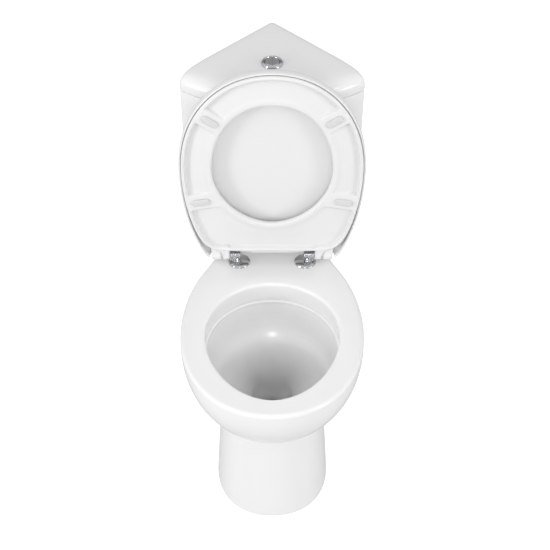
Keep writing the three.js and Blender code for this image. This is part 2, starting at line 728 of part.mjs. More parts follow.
function buildFillValve() {
  const column = turned(fillS, fillD, [
    [0, tankBottom - FILL_TAIL],
    [FILL_TAIL_R, tankBottom - FILL_TAIL],
    [FILL_TAIL_R, tankFloor + GAP],
    [FILL_R + 5, tankFloor + GAP],
    [FILL_R + 5, tankFloor + 5],
    [FILL_R, tankFloor + 5],
    [FILL_R, fillTop - 16],
    [FILL_R + 3, fillTop - 14],
    [FILL_R + 3, fillTop],
    [0, fillTop],
  ], 16);
  const lug = block(fillS, pivotS + 5, fillD - 3, fillD + 3, fillTop - 12, fillTop - 2);
  const port = rod(fillS, fillD, FILL_TAIL_R - 3, tankBottom - FILL_TAIL - 5, tankFloor + 20, 12);
  const bore = alongY(pivotS, fillD - 10, fillD + 10, fillTop - 7, 2 + 0.4, 12);
  return cut(joined(column, lug), port, bore);
}

const cupIn = pivotS + 20;
const cupOut = cupIn + FLOAT_WIDE;
const cupD = armD + 3;

function buildFloatCup() {
  const top = fillTop - 24;
  const low = top - FLOAT_HIGH;
  const half = FLOAT_WIDE / 2;
  const shell = block(cupIn, cupOut, cupD - half, cupD + half, low, top);
  const hollow = block(cupIn + 2, cupOut - 2, cupD - half + 2, cupD + half - 2, low - 5, top - 2);
  return shell.subtract(hollow);
}

function buildFloatArm() {
  const z = fillTop - 7;
  const bar = block(pivotS - 5, cupOut - 8, armD, armD + 6, z - 5, z + 5);
  const bore = alongY(pivotS, armD - 5, armD + 12, z, 2 + RUN, 12);
  const screwHole = rod((cupIn + cupOut) / 2, armD + 3, 2.3, z - 10, z + 10, 10);
  return cut(bar, bore, screwHole);
}

piece('fill_valve_body', buildFillValve(), PLASTIC);
piece('fill_valve_nut',
  hexNut(fillS, fillD, 17, FILL_TAIL_R + 0.5, tankBottom - 10, tankBottom - GAP), PLASTIC);
piece('float_arm', buildFloatArm(), GREY_PLASTIC);
piece('float_pivot_pin', alongY(pivotS, fillD - 5, armD + 9, fillTop - 7, 2, 12), STEEL);
piece('float_cup', buildFloatCup(), PLASTIC);
piece('float_screw', rod((cupIn + cupOut) / 2, armD + 3, 1.8, fillTop - 24 + GAP, fillTop + 6, 10), BRASS);

// ---------------------------------------------------------------- floor screws
function floorScrew(name, side) {
  const s = side * earS;
  const shank = rod(s, 300, 3.5, GAP, 16, 12);
  const head = turned(s, 300, [[0, 14 + GAP], [6, 14 + GAP], [6, 16], [4, 18], [0, 18]], 12);
  piece(`${name}_floor_screw`, joined(shank, head), STEEL);
  const cap = turned(s, 300, [
    [7, 14 + GAP], [9.5, 14 + GAP], [9, 18], [6, 21.5], [0, 22.5],
    [0, 19.5], [5.5, 19], [7, 17], [7, 14 + GAP],
  ], 14);
  piece(`${name}_screw_cap`, cap, PLASTIC);
}

floorScrew('right', 1);
floorScrew('left', -1);

// ---------------------------------------------------------------- hinge
function hinge(name, side) {
  const s = side * HINGE_S;
  const low = RIM_HEIGHT + GAP;
  const top = low + CAP_HEIGHT;
  const cap = turned(s, hingeD, [
    [0, low], [CAP_R, low], [CAP_R, low + 1.5], [CAP_R - 1.2, low + 4], [CAP_R - 3, top], [0, top],
  ], 24);
  piece(`${name}_hinge_cap`, cap, CHROME);
  const [from, to] = [side * barrelIn, side * barrelOut].sort((a, b) => a - b);
  const barrel = crossBar(from, to, hingeD, hingeZ, BARREL_R, 16);
  const foot = block(from, to, hingeD - 6, hingeD + 6, top + GAP, hingeZ);
  const outside = crossBar(from, to, hingeD, hingeZ, PIN_R + 0.4, 12);
  piece(`${name}_hinge_post`, joined(barrel, foot).subtract(outside), CHROME);
  const [pinIn, pinOut] = [barrelIn + 2, coverLug[1] - 2];
  const pin = crossBar(Math.min(side * pinIn, side * pinOut), Math.max(side * pinIn, side * pinOut),
    hingeD, hingeZ, PIN_R, 12);
  piece(`${name}_hinge_pin`, pin, STEEL);
  const under = RIM_HEIGHT - DECK;
  piece(`${name}_seat_bolt`, rod(s, hingeD, 4, under - 40, RIM_HEIGHT, 12), STEEL);
  const hub = tube(s, hingeD, 11, 4.5, under - 12, under - GAP, 12);
  const wings = block(s - 11, s + 11, hingeD - 1.5, hingeD + 1.5, under - 20, under - 6);
  const clear = rod(s, hingeD, 4.5, under - 30, under, 12);
  piece(`${name}_seat_nut`, joined(hub, wings).subtract(clear), PLASTIC);
}

hinge('right', 1);
hinge('left', -1);

// ---------------------------------------------------------------- seat and cover
// Both are drawn closed, with u ahead of the hinge axis and w above it, then raised together.
function raise(shape) {
  const angle = TILT;
  const back = [0, -rowY(hingeD), -hingeZ];
  return shape.translate(back).rotate([-angle, 0, 0]).translate([0, rowY(hingeD), hingeZ]);
}

const seatLength = bowlLength - SEAT_SHORT;
const seatMiddle = hingeD + seatLength * 0.507;

// An egg cut off flat at its back edge, where it is still backHalf wide to each side.
function flatEgg(grow, flatBack, backHalf) {
  const half = SEAT_HALF + grow;
  return {
    middle: seatMiddle,
    half,
    front: hingeD + seatLength - seatMiddle + grow,
    back: flatBack / Math.sqrt(1 - (backHalf / half) ** 2),
    flatBack,
    soft: 16,
    frontPower: 2.1,
    backPower: 2,
  };
}

const holeEgg = {
  middle: seatMiddle - 3,
  half: SEAT_HOLE_HALF,
  front: hingeD + seatLength - SEAT_RIM - seatMiddle + 3,
  back: seatMiddle - 3 - hingeD - SEAT_HOLE_BACK,
  frontPower: 2.15,
  backPower: 1.88,
};

// Rings of the seat's section: measured in from the edge, or out from the hole.
function seatRing(section) {
  const around = 40;
  const edge = flatEgg(0, seatMiddle - hingeD - SEAT_BACK, SEAT_BACK_HALF);
  return skin(section, around, (i, [from, inset, w]) => {
    const turn = (2 * Math.PI * i) / around;
    const outer = new THREE.Vector2(...onEgg(edge, turn));
    const inner = new THREE.Vector2(...onEgg(holeEgg, turn));
    const [start, end] = from === 'edge' ? [outer, inner] : [inner, outer];
    const point = start.clone().add(end.clone().sub(start).setLength(inset));
    return [point.x, point.y, hingeZ + w];
  });
}

const seatOutside = [
  ['edge', 2, SEAT_UNDER],
  ['edge', 0, SEAT_UNDER + 4],
  ['edge', 1, SEAT_TOP - 5],
  ['edge', 9, SEAT_TOP],
  ['hole', 16, SEAT_TOP],
  ['hole', 3, SEAT_TOP - 4],
  ['hole', 0, SEAT_TOP - 10],
  ['hole', 3, SEAT_UNDER],
];

// Bearing points of the pads: sideways, ahead of the hinge, turn of the platform in degrees.
const PADS = [
  ['front_right', 123.5, seatLength - FRONT_PAD, 34],
  ['front_left', -123.5, seatLength - FRONT_PAD, 146],
  ['back_right', 146.3, 147, -10],
  ['back_left', -146.3, 147, 190],
];

function turnedBlock(s, u, turn, long, wide, low, high) {
  const geometry = new THREE.BoxGeometry(long, wide, high - low);
  geometry.rotateZ(THREE.MathUtils.degToRad(-turn));
  geometry.translate(s, rowY(hingeD + u), hingeZ + (low + high) / 2);
  return solid(geometry);
}

function padShape(s, u, turn, low, high) {
  const [long, wide] = [38, 15];
  const shape = new THREE.Shape();
  shape.absarc((long - wide) / 2, 0, wide / 2, -Math.PI / 2, Math.PI / 2, false);
  shape.absarc(-(long - wide) / 2, 0, wide / 2, Math.PI / 2, 1.5 * Math.PI, false);
  const options = { depth: high - low, bevelEnabled: false, curveSegments: 6 };
  const geometry = new THREE.ExtrudeGeometry(shape, options);
  geometry.rotateZ(THREE.MathUtils.degToRad(-turn));
  geometry.translate(s, rowY(hingeD + u), hingeZ + low);
  return solid(geometry);
}

// A hinge lug: an eye round the axis with an arm forwards into the moulding.
function lug([from, to], side, arm, low, high) {
  const shape = new THREE.Shape();
  shape.moveTo(-arm, low);
  shape.lineTo(0, -LUG_R);
  shape.absarc(0, 0, LUG_R, -Math.PI / 2, Math.PI / 2, false);
  shape.lineTo(-arm, high);
  shape.closePath();
  const options = { depth: to - from, bevelEnabled: false, curveSegments: 10 };
  const geometry = new THREE.ExtrudeGeometry(shape, options);
  geometry.rotateY(Math.PI / 2);
  geometry.rotateX(Math.PI / 2);
  geometry.translate(side > 0 ? from : -to, rowY(hingeD), hingeZ);
  return solid(geometry);
}

function buildSeat() {
  const section = [
    ...seatOutside,
    ['hole', 12, SEAT_UNDER],
    ['hole', 14, SEAT_TOP - 6],
    ['edge', 10, SEAT_TOP - 6],
    ['edge', 8, SEAT_UNDER],
    seatOutside[0],
  ];
  const hollow = seatRing(section);
  const full = seatRing([...seatOutside, seatOutside[0]]);
  const bars = PADS.map(([, s, u, turn]) => turnedBlock(s, u, turn, 130, 30, SEAT_UNDER, SEAT_TOP - 3));
  const lugs = [1, -1].map((side) => lug(seatLug, side, 34, -11, 2));
  const bores = crossBar(-130, 130, hingeD, hingeZ, PIN_R + RUN, 14);
  return joined(hollow, ...bars.map((bar) => bar.intersect(full)), ...lugs).subtract(bores);
}

function buildCover() {
  const around = 40;
  const edge = flatEgg(COVER_GAP + COVER_SKIN, seatMiddle - hingeD - COVER_BACK, COVER_BACK_HALF);
  const rings = [
    ['pole', 0, COVER_TOP],
    [90, 0, COVER_TOP - 1],
    [30, 0, COVER_TOP - 3],
    [4, 0, COVER_TOP - 6],
    [0, 0, COVER_TOP - 11],
    [1, 0, SKIRT_UNDER],
    [COVER_SKIN, 0, SKIRT_UNDER],
    [COVER_SKIN, 0, COVER_TOP - 14],
    [COVER_SKIN + 6, 0, COVER_TOP - 10],
    [90, 0, COVER_TOP - 7],
    ['pole', 0, COVER_TOP - 6],
  ];
  const shell = skin(rings, around, (i, [inset, , w]) => {
    if (inset === 'pole') return [0, seatMiddle, hingeZ + w];
    const turn = (2 * Math.PI * i) / around;
    const reach = eggRadius(edge, turn) - inset;
    return [reach * Math.sin(turn), seatMiddle + reach * Math.cos(turn), hingeZ + w];
  });
  const reach = coverLug[0] - 1.6;
  const sill = hingeZ + LUG_R + 0.5;
  const room = block(-reach, reach, hingeD - 40, hingeD + 44, hingeZ - 30, sill);
  const skirtOut = coverLug[1] + 3;
  const skirtCut = block(-skirtOut, skirtOut, hingeD - 40, hingeD + 30, hingeZ - 30, hingeZ + 6);
  const lugs = [1, -1].map((side) => lug(coverLug, side, 30, 4, COVER_TOP - 8));
  const bores = crossBar(-140, 140, hingeD, hingeZ, PIN_R + RUN, 14);
  return joined(cut(shell, skirtCut), ...lugs).subtract(room).subtract(bores);
}

piece('seat', raise(buildSeat()), SEAT_WHITE);
PADS.forEach(([name, s, u, turn]) => {
  const low = RIM_HEIGHT + GAP - hingeZ;
  piece(`${name}_seat_buffer`, raise(padShape(s, u, turn, low, SEAT_UNDER - GAP)), PAD_GREY);
});
piece('cover', raise(buildCover()), SEAT_WHITE);
[['right', 1], ['left', -1]].forEach(([name, side]) => {
  const padD = hingeD + seatLength - COVER_PAD;
  const padTop = hingeZ + COVER_TOP - 10 - GAP;
  const pad = rod(side * 100, padD, 6, hingeZ + SEAT_TOP + GAP, padTop, 12);
  piece(`${name}_cover_buffer`, raise(pad), PAD_GREY);
});

export default group;
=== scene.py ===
"""A corner close coupled toilet: glazed china, gloss seat and cover, chrome hinge and push button.

Lengths are in millimetres until a mesh is made. A point is (s, d, z): s sideways from the
middle, d forwards from the room corner behind the cistern, z up from the floor.
"""
import json
import math

import bpy
import numpy as np
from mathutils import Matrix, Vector


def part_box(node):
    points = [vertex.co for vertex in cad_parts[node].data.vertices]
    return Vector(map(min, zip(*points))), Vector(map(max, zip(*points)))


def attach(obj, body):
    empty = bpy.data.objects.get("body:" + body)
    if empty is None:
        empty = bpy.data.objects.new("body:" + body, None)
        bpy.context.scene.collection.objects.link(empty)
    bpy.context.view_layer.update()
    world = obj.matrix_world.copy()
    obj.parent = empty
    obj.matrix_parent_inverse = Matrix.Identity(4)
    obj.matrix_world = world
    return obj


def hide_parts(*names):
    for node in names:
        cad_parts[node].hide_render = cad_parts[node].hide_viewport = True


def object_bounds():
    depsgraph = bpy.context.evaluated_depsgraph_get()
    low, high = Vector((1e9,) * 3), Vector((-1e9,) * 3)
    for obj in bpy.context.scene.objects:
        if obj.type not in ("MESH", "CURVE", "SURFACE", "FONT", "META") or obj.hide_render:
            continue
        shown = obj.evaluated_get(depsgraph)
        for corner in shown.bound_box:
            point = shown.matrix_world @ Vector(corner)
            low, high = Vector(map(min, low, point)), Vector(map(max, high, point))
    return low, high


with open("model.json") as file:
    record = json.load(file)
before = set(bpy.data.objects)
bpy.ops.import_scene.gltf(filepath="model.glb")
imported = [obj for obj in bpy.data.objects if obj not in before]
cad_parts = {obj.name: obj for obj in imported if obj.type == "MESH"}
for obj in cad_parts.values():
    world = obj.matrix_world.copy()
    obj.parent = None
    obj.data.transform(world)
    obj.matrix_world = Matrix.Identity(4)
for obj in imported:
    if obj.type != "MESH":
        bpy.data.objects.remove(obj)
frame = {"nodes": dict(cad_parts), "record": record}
cad_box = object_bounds()

MM = 0.001

# ------------------------------------------------------------------ sizes taken from the frame
low_corner, high_corner = cad_box
DEPTH = (high_corner.y - low_corner.y) / MM
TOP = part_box("cistern_lid")[1].z / MM
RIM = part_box("pan")[1].z / MM
LID_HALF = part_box("cistern_lid")[1].x / MM + 0.2
LID_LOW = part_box("cistern_lid")[0].z / MM
TANK_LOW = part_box("cistern")[0].z / MM
HINGE_Z = (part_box("right_hinge_pin")[0].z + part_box("right_hinge_pin")[1].z) / 2 / MM
HINGE_D = DEPTH / 2 - (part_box("right_hinge_pin")[0].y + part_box("right_hinge_pin")[1].y) / 2 / MM
VALVE_D = DEPTH / 2 - (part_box("button_bezel")[0].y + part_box("button_bezel")[1].y) / 2 / MM

# ------------------------------------------------------------------ sizes of the moulded shapes
BOWL_LENGTH = DEPTH - HINGE_D
RIM_D = HINGE_D + BOWL_LENGTH * 0.4665
RIM_HALF = 186
RIM_BACK = 286
OPENING_HALF = 136.5
RIM_TO_OPENING = 48
OPENING_BACK = 71
BULB_DRAW = 92
BULB_DROP = 157
BULB_POWER = 2.32
FOOT_HALF = 118
FOOT_FRONT = DEPTH - 86
NECK_DRAW = 13
NECK_HEIGHT = 240
LEG_HALF = 95
LEG_BACK = 205
SHELF_HALF = 112
SHELF_BACK = 110
SHELF_LOW = RIM - 22
WALL = 10
OUTLET_Z = 185
SPIGOT_END = 110
TILT = math.radians(93.5)
SEAT_UNDER = -15
SEAT_TOP = 4
COVER_TOP = 19
SKIRT_UNDER = -9


# ------------------------------------------------------------------ meshes
def row_points(points):
    """(s, d, z) in millimetres to the frame's X, Y, Z in metres."""
    points = np.asarray(points, float)
    turned = np.stack([points[..., 0], DEPTH / 2 - points[..., 1], points[..., 2]], axis=-1)
    return turned * MM


def ring_faces(rings, around, start, end, loop):
    """Quads between neighbouring rings, with a fan of triangles onto a pole at either end."""
    i = np.arange(around)
    j = (i + 1) % around
    bands = rings if loop else rings - 1
    k = np.arange(bands)[:, None]
    after = (k + 1) % rings
    quads = np.stack([k * around + i, k * around + j, after * around + j, after * around + i], -1)
    faces = quads.reshape(-1, 4).tolist()
    count = rings * around
    if start:
        faces += np.stack([j, i, np.full(around, count)], -1).tolist()
    if end:
        last = (rings - 1) * around
        faces += np.stack([last + i, last + j, np.full(around, count + start)], -1).tolist()
    return faces


def signed_volume(points, faces):
    """Six times the volume inside the faces: a sum of corner triple products over a fan."""
    total = 0.0
    for size in (3, 4):
        sheet = np.array([face for face in faces if len(face) == size], int)
        if not len(sheet):
            continue
        a = points[sheet[:, 0]]
        for n in range(1, size - 1):
            b, c = points[sheet[:, n]], points[sheet[:, n + 1]]
            total += np.einsum("ij,ij->i", a, np.cross(b, c)).sum()
    return total


def rings_part(rings, start=False, end=False, loop=False):
    """Points and outward faces of a stack of rings (rings x around x 3, in millimetres).
    A pole sits at the mean of the first or last ring."""
    rings = np.asarray(rings, float)
    count, around = rings.shape[:2]
    points = rings.reshape(-1, 3)
    poles = [rings[0].mean(0)] * start + [rings[-1].mean(0)] * end
    if poles:
        points = np.vstack([points, poles])
    points = row_points(points)
    faces = ring_faces(count, around, start, end, loop)
    if signed_volume(points, faces) < 0:
        faces = [face[::-1] for face in faces]
    return points, faces


def make_piece(name, parts, body, slot, material, *nodes):
    """One smooth mesh object from a list of parts, riding on a body and standing for CAD nodes."""
    points, faces, base = [], [], 0
    for part_points, part_faces in parts:
        points.append(part_points)
        faces += [[base + corner for corner in face] for face in part_faces]
        base += len(part_points)
    mesh = bpy.data.meshes.new(name)
    mesh.from_pydata(np.vstack(points).tolist(), [], faces)
    mesh.polygons.foreach_set("use_smooth", np.ones(len(faces), bool))
    mesh.materials.append(material)
    mesh.update()
    piece = bpy.data.objects.new(name, mesh)
    bpy.context.scene.collection.objects.link(piece)
    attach(piece, body)
    if nodes:
        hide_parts(*nodes)
    return piece


def quarter(r, count=6):
    """Quarter circle offsets (in, up): from (0, 0) on the side to (r, r) on the top."""
    a = np.linspace(0, math.pi / 2, count)
    return np.stack([r * (1 - np.cos(a)), r * np.sin(a)], -1)


def through(keys, count):
    """A Catmull-Rom curve through rows of numbers, sampled evenly between its first and last row."""
    keys = np.asarray(keys, float)
    padded = np.vstack([2 * keys[0] - keys[1], keys, 2 * keys[-1] - keys[-2]])
    t = np.linspace(0, len(keys) - 1, count)
    k = np.minimum(t.astype(int), len(keys) - 2)
    x = (t - k)[:, None]
    a, b, c, e = padded[k], padded[k + 1], padded[k + 2], padded[k + 3]
    square, cube = 2 * a - 5 * b + 4 * c - e, 3 * b - a - 3 * c + e
    return 0.5 * (2 * b + (c - a) * x + square * x**2 + cube * x**3)


def turns(count):
    """Angles round a ring: 0 is straight ahead, towards the front."""
    return np.arange(count) * 2 * math.pi / count


def egg_reach(turn, half, front, back, front_power=2.0, back_power=2.0):
    """Distance from an egg's middle to its outline: (|side|/half)^p + (|ahead|/length)^p = 1,
    with its own length and power ahead of the middle and behind it."""
    ahead = np.cos(turn)
    length = np.where(ahead >= 0, front, back)
    power = np.where(ahead >= 0, front_power, back_power)
    total = (np.abs(np.sin(turn)) / half) ** power + (np.abs(ahead) / length) ** power
    return total ** (-1 / power)


def polar(turn, reach, middle, z):
    """Ring points at a distance from (0, middle)."""
    z = np.broadcast_to(np.asarray(z, float), np.shape(reach))
    return np.stack([reach * np.sin(turn), middle + reach * np.cos(turn), z], -1)


def rounded_box(s0, s1, d0, d1, z0, z1, r=3.0, around=48):
    """A block with soft corners: high-power egg rings, drawn in by a quarter circle at each end."""
    turn = turns(around)
    half, long = (s1 - s0) / 2, (d1 - d0) / 2
    q = quarter(r, 5)
    levels = [(inset, z0 + r - up) for inset, up in q[::-1]] + [(inset, z1 - r + up) for inset, up in q]
    rings = []
    for inset, z in levels:
        reach = egg_reach(turn, half - inset, long - inset, long - inset, 7, 7)
        ring = polar(turn, reach, (d0 + d1) / 2, z)
        ring[:, 0] += (s0 + s1) / 2
        rings.append(ring)
    return rings_part(rings, start=True, end=True)


def revolved(s, d, profile, around=64, loop=False):
    """A profile of (radius, z) turned about an upright axis."""
    turn = turns(around)
    profile = np.asarray(profile, float)
    rings = np.stack([
        s + profile[:, :1] * np.sin(turn),
        d + profile[:, :1] * np.cos(turn),
        np.repeat(profile[:, 1:2], around, 1),
    ], -1)
    return rings_part(rings, start=not loop, end=not loop, loop=loop)


def revolved_across(s_profile, d, z, around=48, loop=False):
    """A profile of (s, radius) turned about an axis along X."""
    turn = turns(around)
    profile = np.asarray(s_profile, float)
    rings = np.stack([
        np.repeat(profile[:, :1], around, 1),
        d + profile[:, 1:2] * np.sin(turn),
        z + profile[:, 1:2] * np.cos(turn),
    ], -1)
    return rings_part(rings, start=not loop, end=not loop, loop=loop)


# ------------------------------------------------------------------ pan
def soft_least(a, b, r):
    """The smaller of two distances, with the valley between them filled by a fillet of about r."""
    near = np.maximum(r - np.abs(a - b), 0) / r
    return np.minimum(a, b) - near**2 * r / 4


def egg_gap(s, ahead, half, front, back, front_power, back_power):
    """Roughly the distance outside an egg's outline, measured along the ray from its middle."""
    length = np.where(ahead >= 0, front, back)
    power = np.where(ahead >= 0, front_power, back_power)
    share = ((np.abs(s) / half) ** power + (np.abs(ahead) / length) ** power) ** (1 / power)
    reach = np.hypot(s, ahead)
    return reach - reach / np.maximum(share, 1e-6)


def bulb_draw(z):
    """How far the bowl's outside has drawn in at a height: a power curve down from the rim."""
    return BULB_DRAW * (np.maximum(RIM - 10 - z, 0) / BULB_DROP) ** BULB_POWER


def pan_gap(s, d, z):
    """Distance outside the pan: bowl, foot, narrower leg and shelf, filleted together."""
    draw = np.minimum(bulb_draw(z), 150)
    bowl = egg_gap(s, d - RIM_D, RIM_HALF - draw, DEPTH - RIM_D - draw, RIM_BACK - draw, 2.15, 2.0)
    bowl = np.where(bulb_draw(z) > 150, 1e3, bowl)
    rise = z / NECK_HEIGHT
    middle = RIM_D + 15
    foot = egg_gap(s, d - middle, FOOT_HALF - NECK_DRAW * rise, FOOT_FRONT - middle - 6 * rise,
                   middle - HINGE_D - 24, 2.2, 3.0)
    half_leg = (RIM_D - LEG_BACK) / 2
    leg = egg_gap(s, d - LEG_BACK - half_leg, LEG_HALF, half_leg, half_leg, 5, 7)
    whole = soft_least(soft_least(bowl, foot, 12), leg, 10)
    half = SHELF_HALF + np.maximum(d - 144, 0) * 0.013 + np.maximum(d - 300, 0) * 0.22
    sides = np.maximum(np.abs(s) - half, SHELF_BACK - d)
    shelf = np.maximum(sides, (np.abs(s) - d + 32) * math.sqrt(0.5))
    shelf = np.maximum(shelf, d - RIM_D)
    edge = 6 - np.sqrt(np.maximum(36 - np.clip(SHELF_LOW + 6 - z, 0, 6) ** 2, 0))
    with_shelf = soft_least(whole, shelf + edge, 14)
    return np.where(z >= SHELF_LOW, with_shelf, whole)


def pan_ring(z, inset, around):
    """Outline of the pan at a height, drawn in by inset: the gap is bisected along each ray."""
    turn = turns(around)
    middle = HINGE_D + 124
    near, far = np.zeros(around), np.full(around, 600.0)
    for _ in range(30):
        mid = (near + far) / 2
        inside = pan_gap(mid * np.sin(turn), middle + mid * np.cos(turn), z) < -inset
        near, far = np.where(inside, mid, near), np.where(inside, far, mid)
    return polar(turn, near, middle, z)


def opening_ring(z, grow, around):
    """The bowl's opening let out by grow."""
    middle = RIM_D + 5
    front = DEPTH - RIM_TO_OPENING - middle + grow
    back = middle - HINGE_D - OPENING_BACK + grow
    reach = egg_reach(turns(around), OPENING_HALF + grow, front, back, 1.9, 2.0)
    return polar(turns(around), reach, middle, z)


# height, half width, front and back of the bowl's inside below the rim, and the roundness
BOWL_KEYS = [
    (345, 138.5, 745, 418.5, 1.95),
    (330, 136, 741, 420.5, 2.0),
    (312, 132, 735, 424, 2.0),
    (296, 126.5, 727, 430, 2.0),
    (284, 120.5, 718, 437.5, 2.0),
    (276, 115.5, 711, 444, 2.0),
    (269, 111.5, 704, 448.5, 2.0),
    (261, 108, 697, 451, 2.0),
    (245, 101, 684, 452, 2.0),
    (220, 88, 655, 450.5, 2.05),
    (195, 75, 617, 448, 2.1),
    (172, 62, 583, 446, 2.2),
    (152, 51, 556, 444, 2.35),
    (138, 44.5, 540, 442.5, 2.5),
    (124, 41, 528, 441.5, 2.6),
    (110, 38, 519, 442, 2.3),
    (96, 33.5, 511, 445, 2.0),
]
TRAP_R = 32
TRAP_BEND = 44
TRAP_TOP = 87
TRAP_START = 479
TRAP_WALL = 8


def bowl_rings(grow, around, count):
    """Rings from below the rim down to the sump, let out by grow."""
    rings = []
    for z, half, front, back, power in through(BOWL_KEYS, count):
        middle = back + (front - back) * (0.44 + 0.06 * min(max((240 - z) / 100, 0), 1))
        ahead, behind = front - middle + grow, middle - back + grow
        reach = egg_reach(turns(around), half + grow, ahead, behind, power, power)
        rings.append(polar(turns(around), reach, middle, z))
    return rings


def trap_rings(r, around):
    """Rings of the trapway: down from the sump, round a half turn, and up the rising leg."""
    turn = turns(around)
    rings = []
    for angle in np.radians(np.linspace(0, 180, 15)):
        d = TRAP_START - TRAP_BEND * (1 - math.cos(angle))
        z = TRAP_TOP - TRAP_BEND * math.sin(angle)
        rings.append(np.stack([
            r * np.sin(turn),
            d + r * np.cos(turn) * math.cos(angle),
            z - r * np.cos(turn) * math.sin(angle),
        ], -1))
    for _ in range(4):
        rings.append(rings[-1] + [0, -2, 30])
    return rings


def pan_shell():
    """One closed skin: from the bottom of the trapway up the bowl, over the rim, down the
    outside to the foot, and up the hollow underside round the bowl to the trapway's outside."""
    around = 224
    rings = trap_rings(TRAP_R, around)[::-1]
    rings += bowl_rings(0, around, 64)[::-1]
    for grow, z in [(-0.6, 348.5), (-2.2, 351.2), (-2.4, 353), (-1.4, 354.6), (0.6, 355.3), (2.4, 355.6),
                    (2.6, 356.2), (1.6, 356.9), (1.1, 358), (1.2, 362), (1.0, 370), (0.4, 384)]:
        rings.append(opening_ring(RIM - 402 + z, grow, around))
    for inset, up in quarter(7, 9):
        rings.append(opening_ring(RIM - 7 + up, inset, around))
    rim_in = opening_ring(RIM, 7, around)
    rim_out = pan_ring(RIM, 8, around)
    rings += [rim_in + (rim_out - rim_in) * share for share in np.linspace(0, 1, 14)[1:-1]]
    for inset, up in quarter(8, 10)[::-1]:
        rings.append(pan_ring(RIM - 8 + up, inset, around))
    heights = [392, 390, 388, 386.5, 385, 383.5, 382, 381, 380.2, 379.8, 379, 377, 374, 370]
    heights += list(np.linspace(366, 200, 64)) + list(np.linspace(190, 16, 18)) + [10, 6]
    rings += [pan_ring(RIM - 402 + z, 0, around) for z in heights]
    for inset, up in quarter(3, 5):
        rings.append(pan_ring(3 - up, inset, around))
    rings.append(pan_ring(0, WALL - 2, around))
    rings.append(pan_ring(2, WALL, around))
    rings += [pan_ring(z, WALL, around) for z in np.linspace(20, 300, 14)]
    rings += bowl_rings(WALL - 1, around, 40)[8:]
    rings += trap_rings(TRAP_R + TRAP_WALL, around)
    return rings_part(rings, start=True, end=True)


def outlet():
    """The round outlet behind the leg: a flared tube turned about Y, with its bore closed far in."""
    profile = [(60, 214), (56, 204), (52.5, 199), (51, 192), (51, SPIGOT_END + 3), (50.1, SPIGOT_END + 0.9),
               (48, SPIGOT_END), (42, SPIGOT_END), (40.6, SPIGOT_END + 0.8), (40, SPIGOT_END + 3), (40, 216)]
    turn = turns(72)
    rings = [np.stack([r * np.sin(turn), np.full(72, float(d)), OUTLET_Z + r * np.cos(turn)], -1)
             for r, d in profile]
    return rings_part(rings, start=True, end=True)


def build_pan(material):
    duct = rounded_box(-42, 42, SHELF_BACK + 3, LEG_BACK + 8, RIM - 72, SHELF_LOW + 6, 7)
    ears = [rounded_box(min(a, b), max(a, b), 285, 315, 0, 14, 3)
            for a, b in ((LEG_HALF - 8, FOOT_HALF - 2.2), (8 - LEG_HALF, 2.2 - FOOT_HALF))]
    return make_piece("pan_china", [pan_shell(), outlet(), duct, *ears], "base", "china", material, "pan")


# ------------------------------------------------------------------ cistern and lid
def corner_plan(back, front, around):
    """The cistern's outline: a rounded right angle at the back, straight sides, each side corner
    a cubic Bezier curve, and a bowed front that is an arc. Sampled evenly along its length."""
    corner_r, nose, bow_r = 12, 74, 313
    tank_depth = LID_HALF + nose
    r = max(corner_r - back, 3)
    apex = back * math.sqrt(2) - (math.sqrt(2) - 1) * corner_r
    wall_s, nose_s = LID_HALF - 32 - front, LID_HALF - 22 - front
    bow, bow_d = bow_r - front, tank_depth - bow_r
    lean = math.asin(nose_s / bow)
    a = np.linspace(0, math.pi / 4, 12)[:, None]
    heel = np.hstack([r * np.sin(a), apex + r * math.sqrt(2) - r * np.cos(a)])
    start = np.array([wall_s, wall_s + apex])
    end = np.array([nose_s, bow_d + math.sqrt(bow**2 - nose_s**2)])
    pull = start + 55 * math.sqrt(0.5)
    push = end + 38 * np.array([math.cos(lean), -math.sin(lean)])
    t = np.linspace(0, 1, 60)[:, None]
    side = (1 - t)**3 * start + 3 * (1 - t)**2 * t * pull + 3 * (1 - t) * t**2 * push + t**3 * end
    a = np.linspace(lean, 0, 50)[1:, None]
    nose_line = np.hstack([bow * np.sin(a), bow_d + bow * np.cos(a)])
    right = np.vstack([heel, side, nose_line])
    step = np.r_[0, np.cumsum(np.hypot(*np.diff(right, axis=0).T))]
    even = np.linspace(0, step[-1], around // 2 + 1)
    right = np.stack([np.interp(even, step, right[:, k]) for k in (0, 1)], -1)
    return np.vstack([right, (right * [-1, 1])[-2:0:-1]])


def plan_ring(back, front, z, around):
    outline = corner_plan(back, front, around)
    return np.hstack([outline, np.full((around, 1), float(z))])


TANK_BACK = 3  # the cistern's back walls inside the lid's
TANK_FLUSH = 0.8  # the cistern's front inside the lid's, just under the lid
TANK_NECK = 4  # the same inside the lid's skirt
TANK_DRAW = 5  # how much further the front draws in towards the bottom


def tank_draw(z, top):
    """How far the cistern's front stands inside the lid's outline: a straight taper downwards."""
    return TANK_FLUSH + TANK_DRAW * min(max((top - 20 - z) / (top - TANK_LOW - 40), 0), 1)


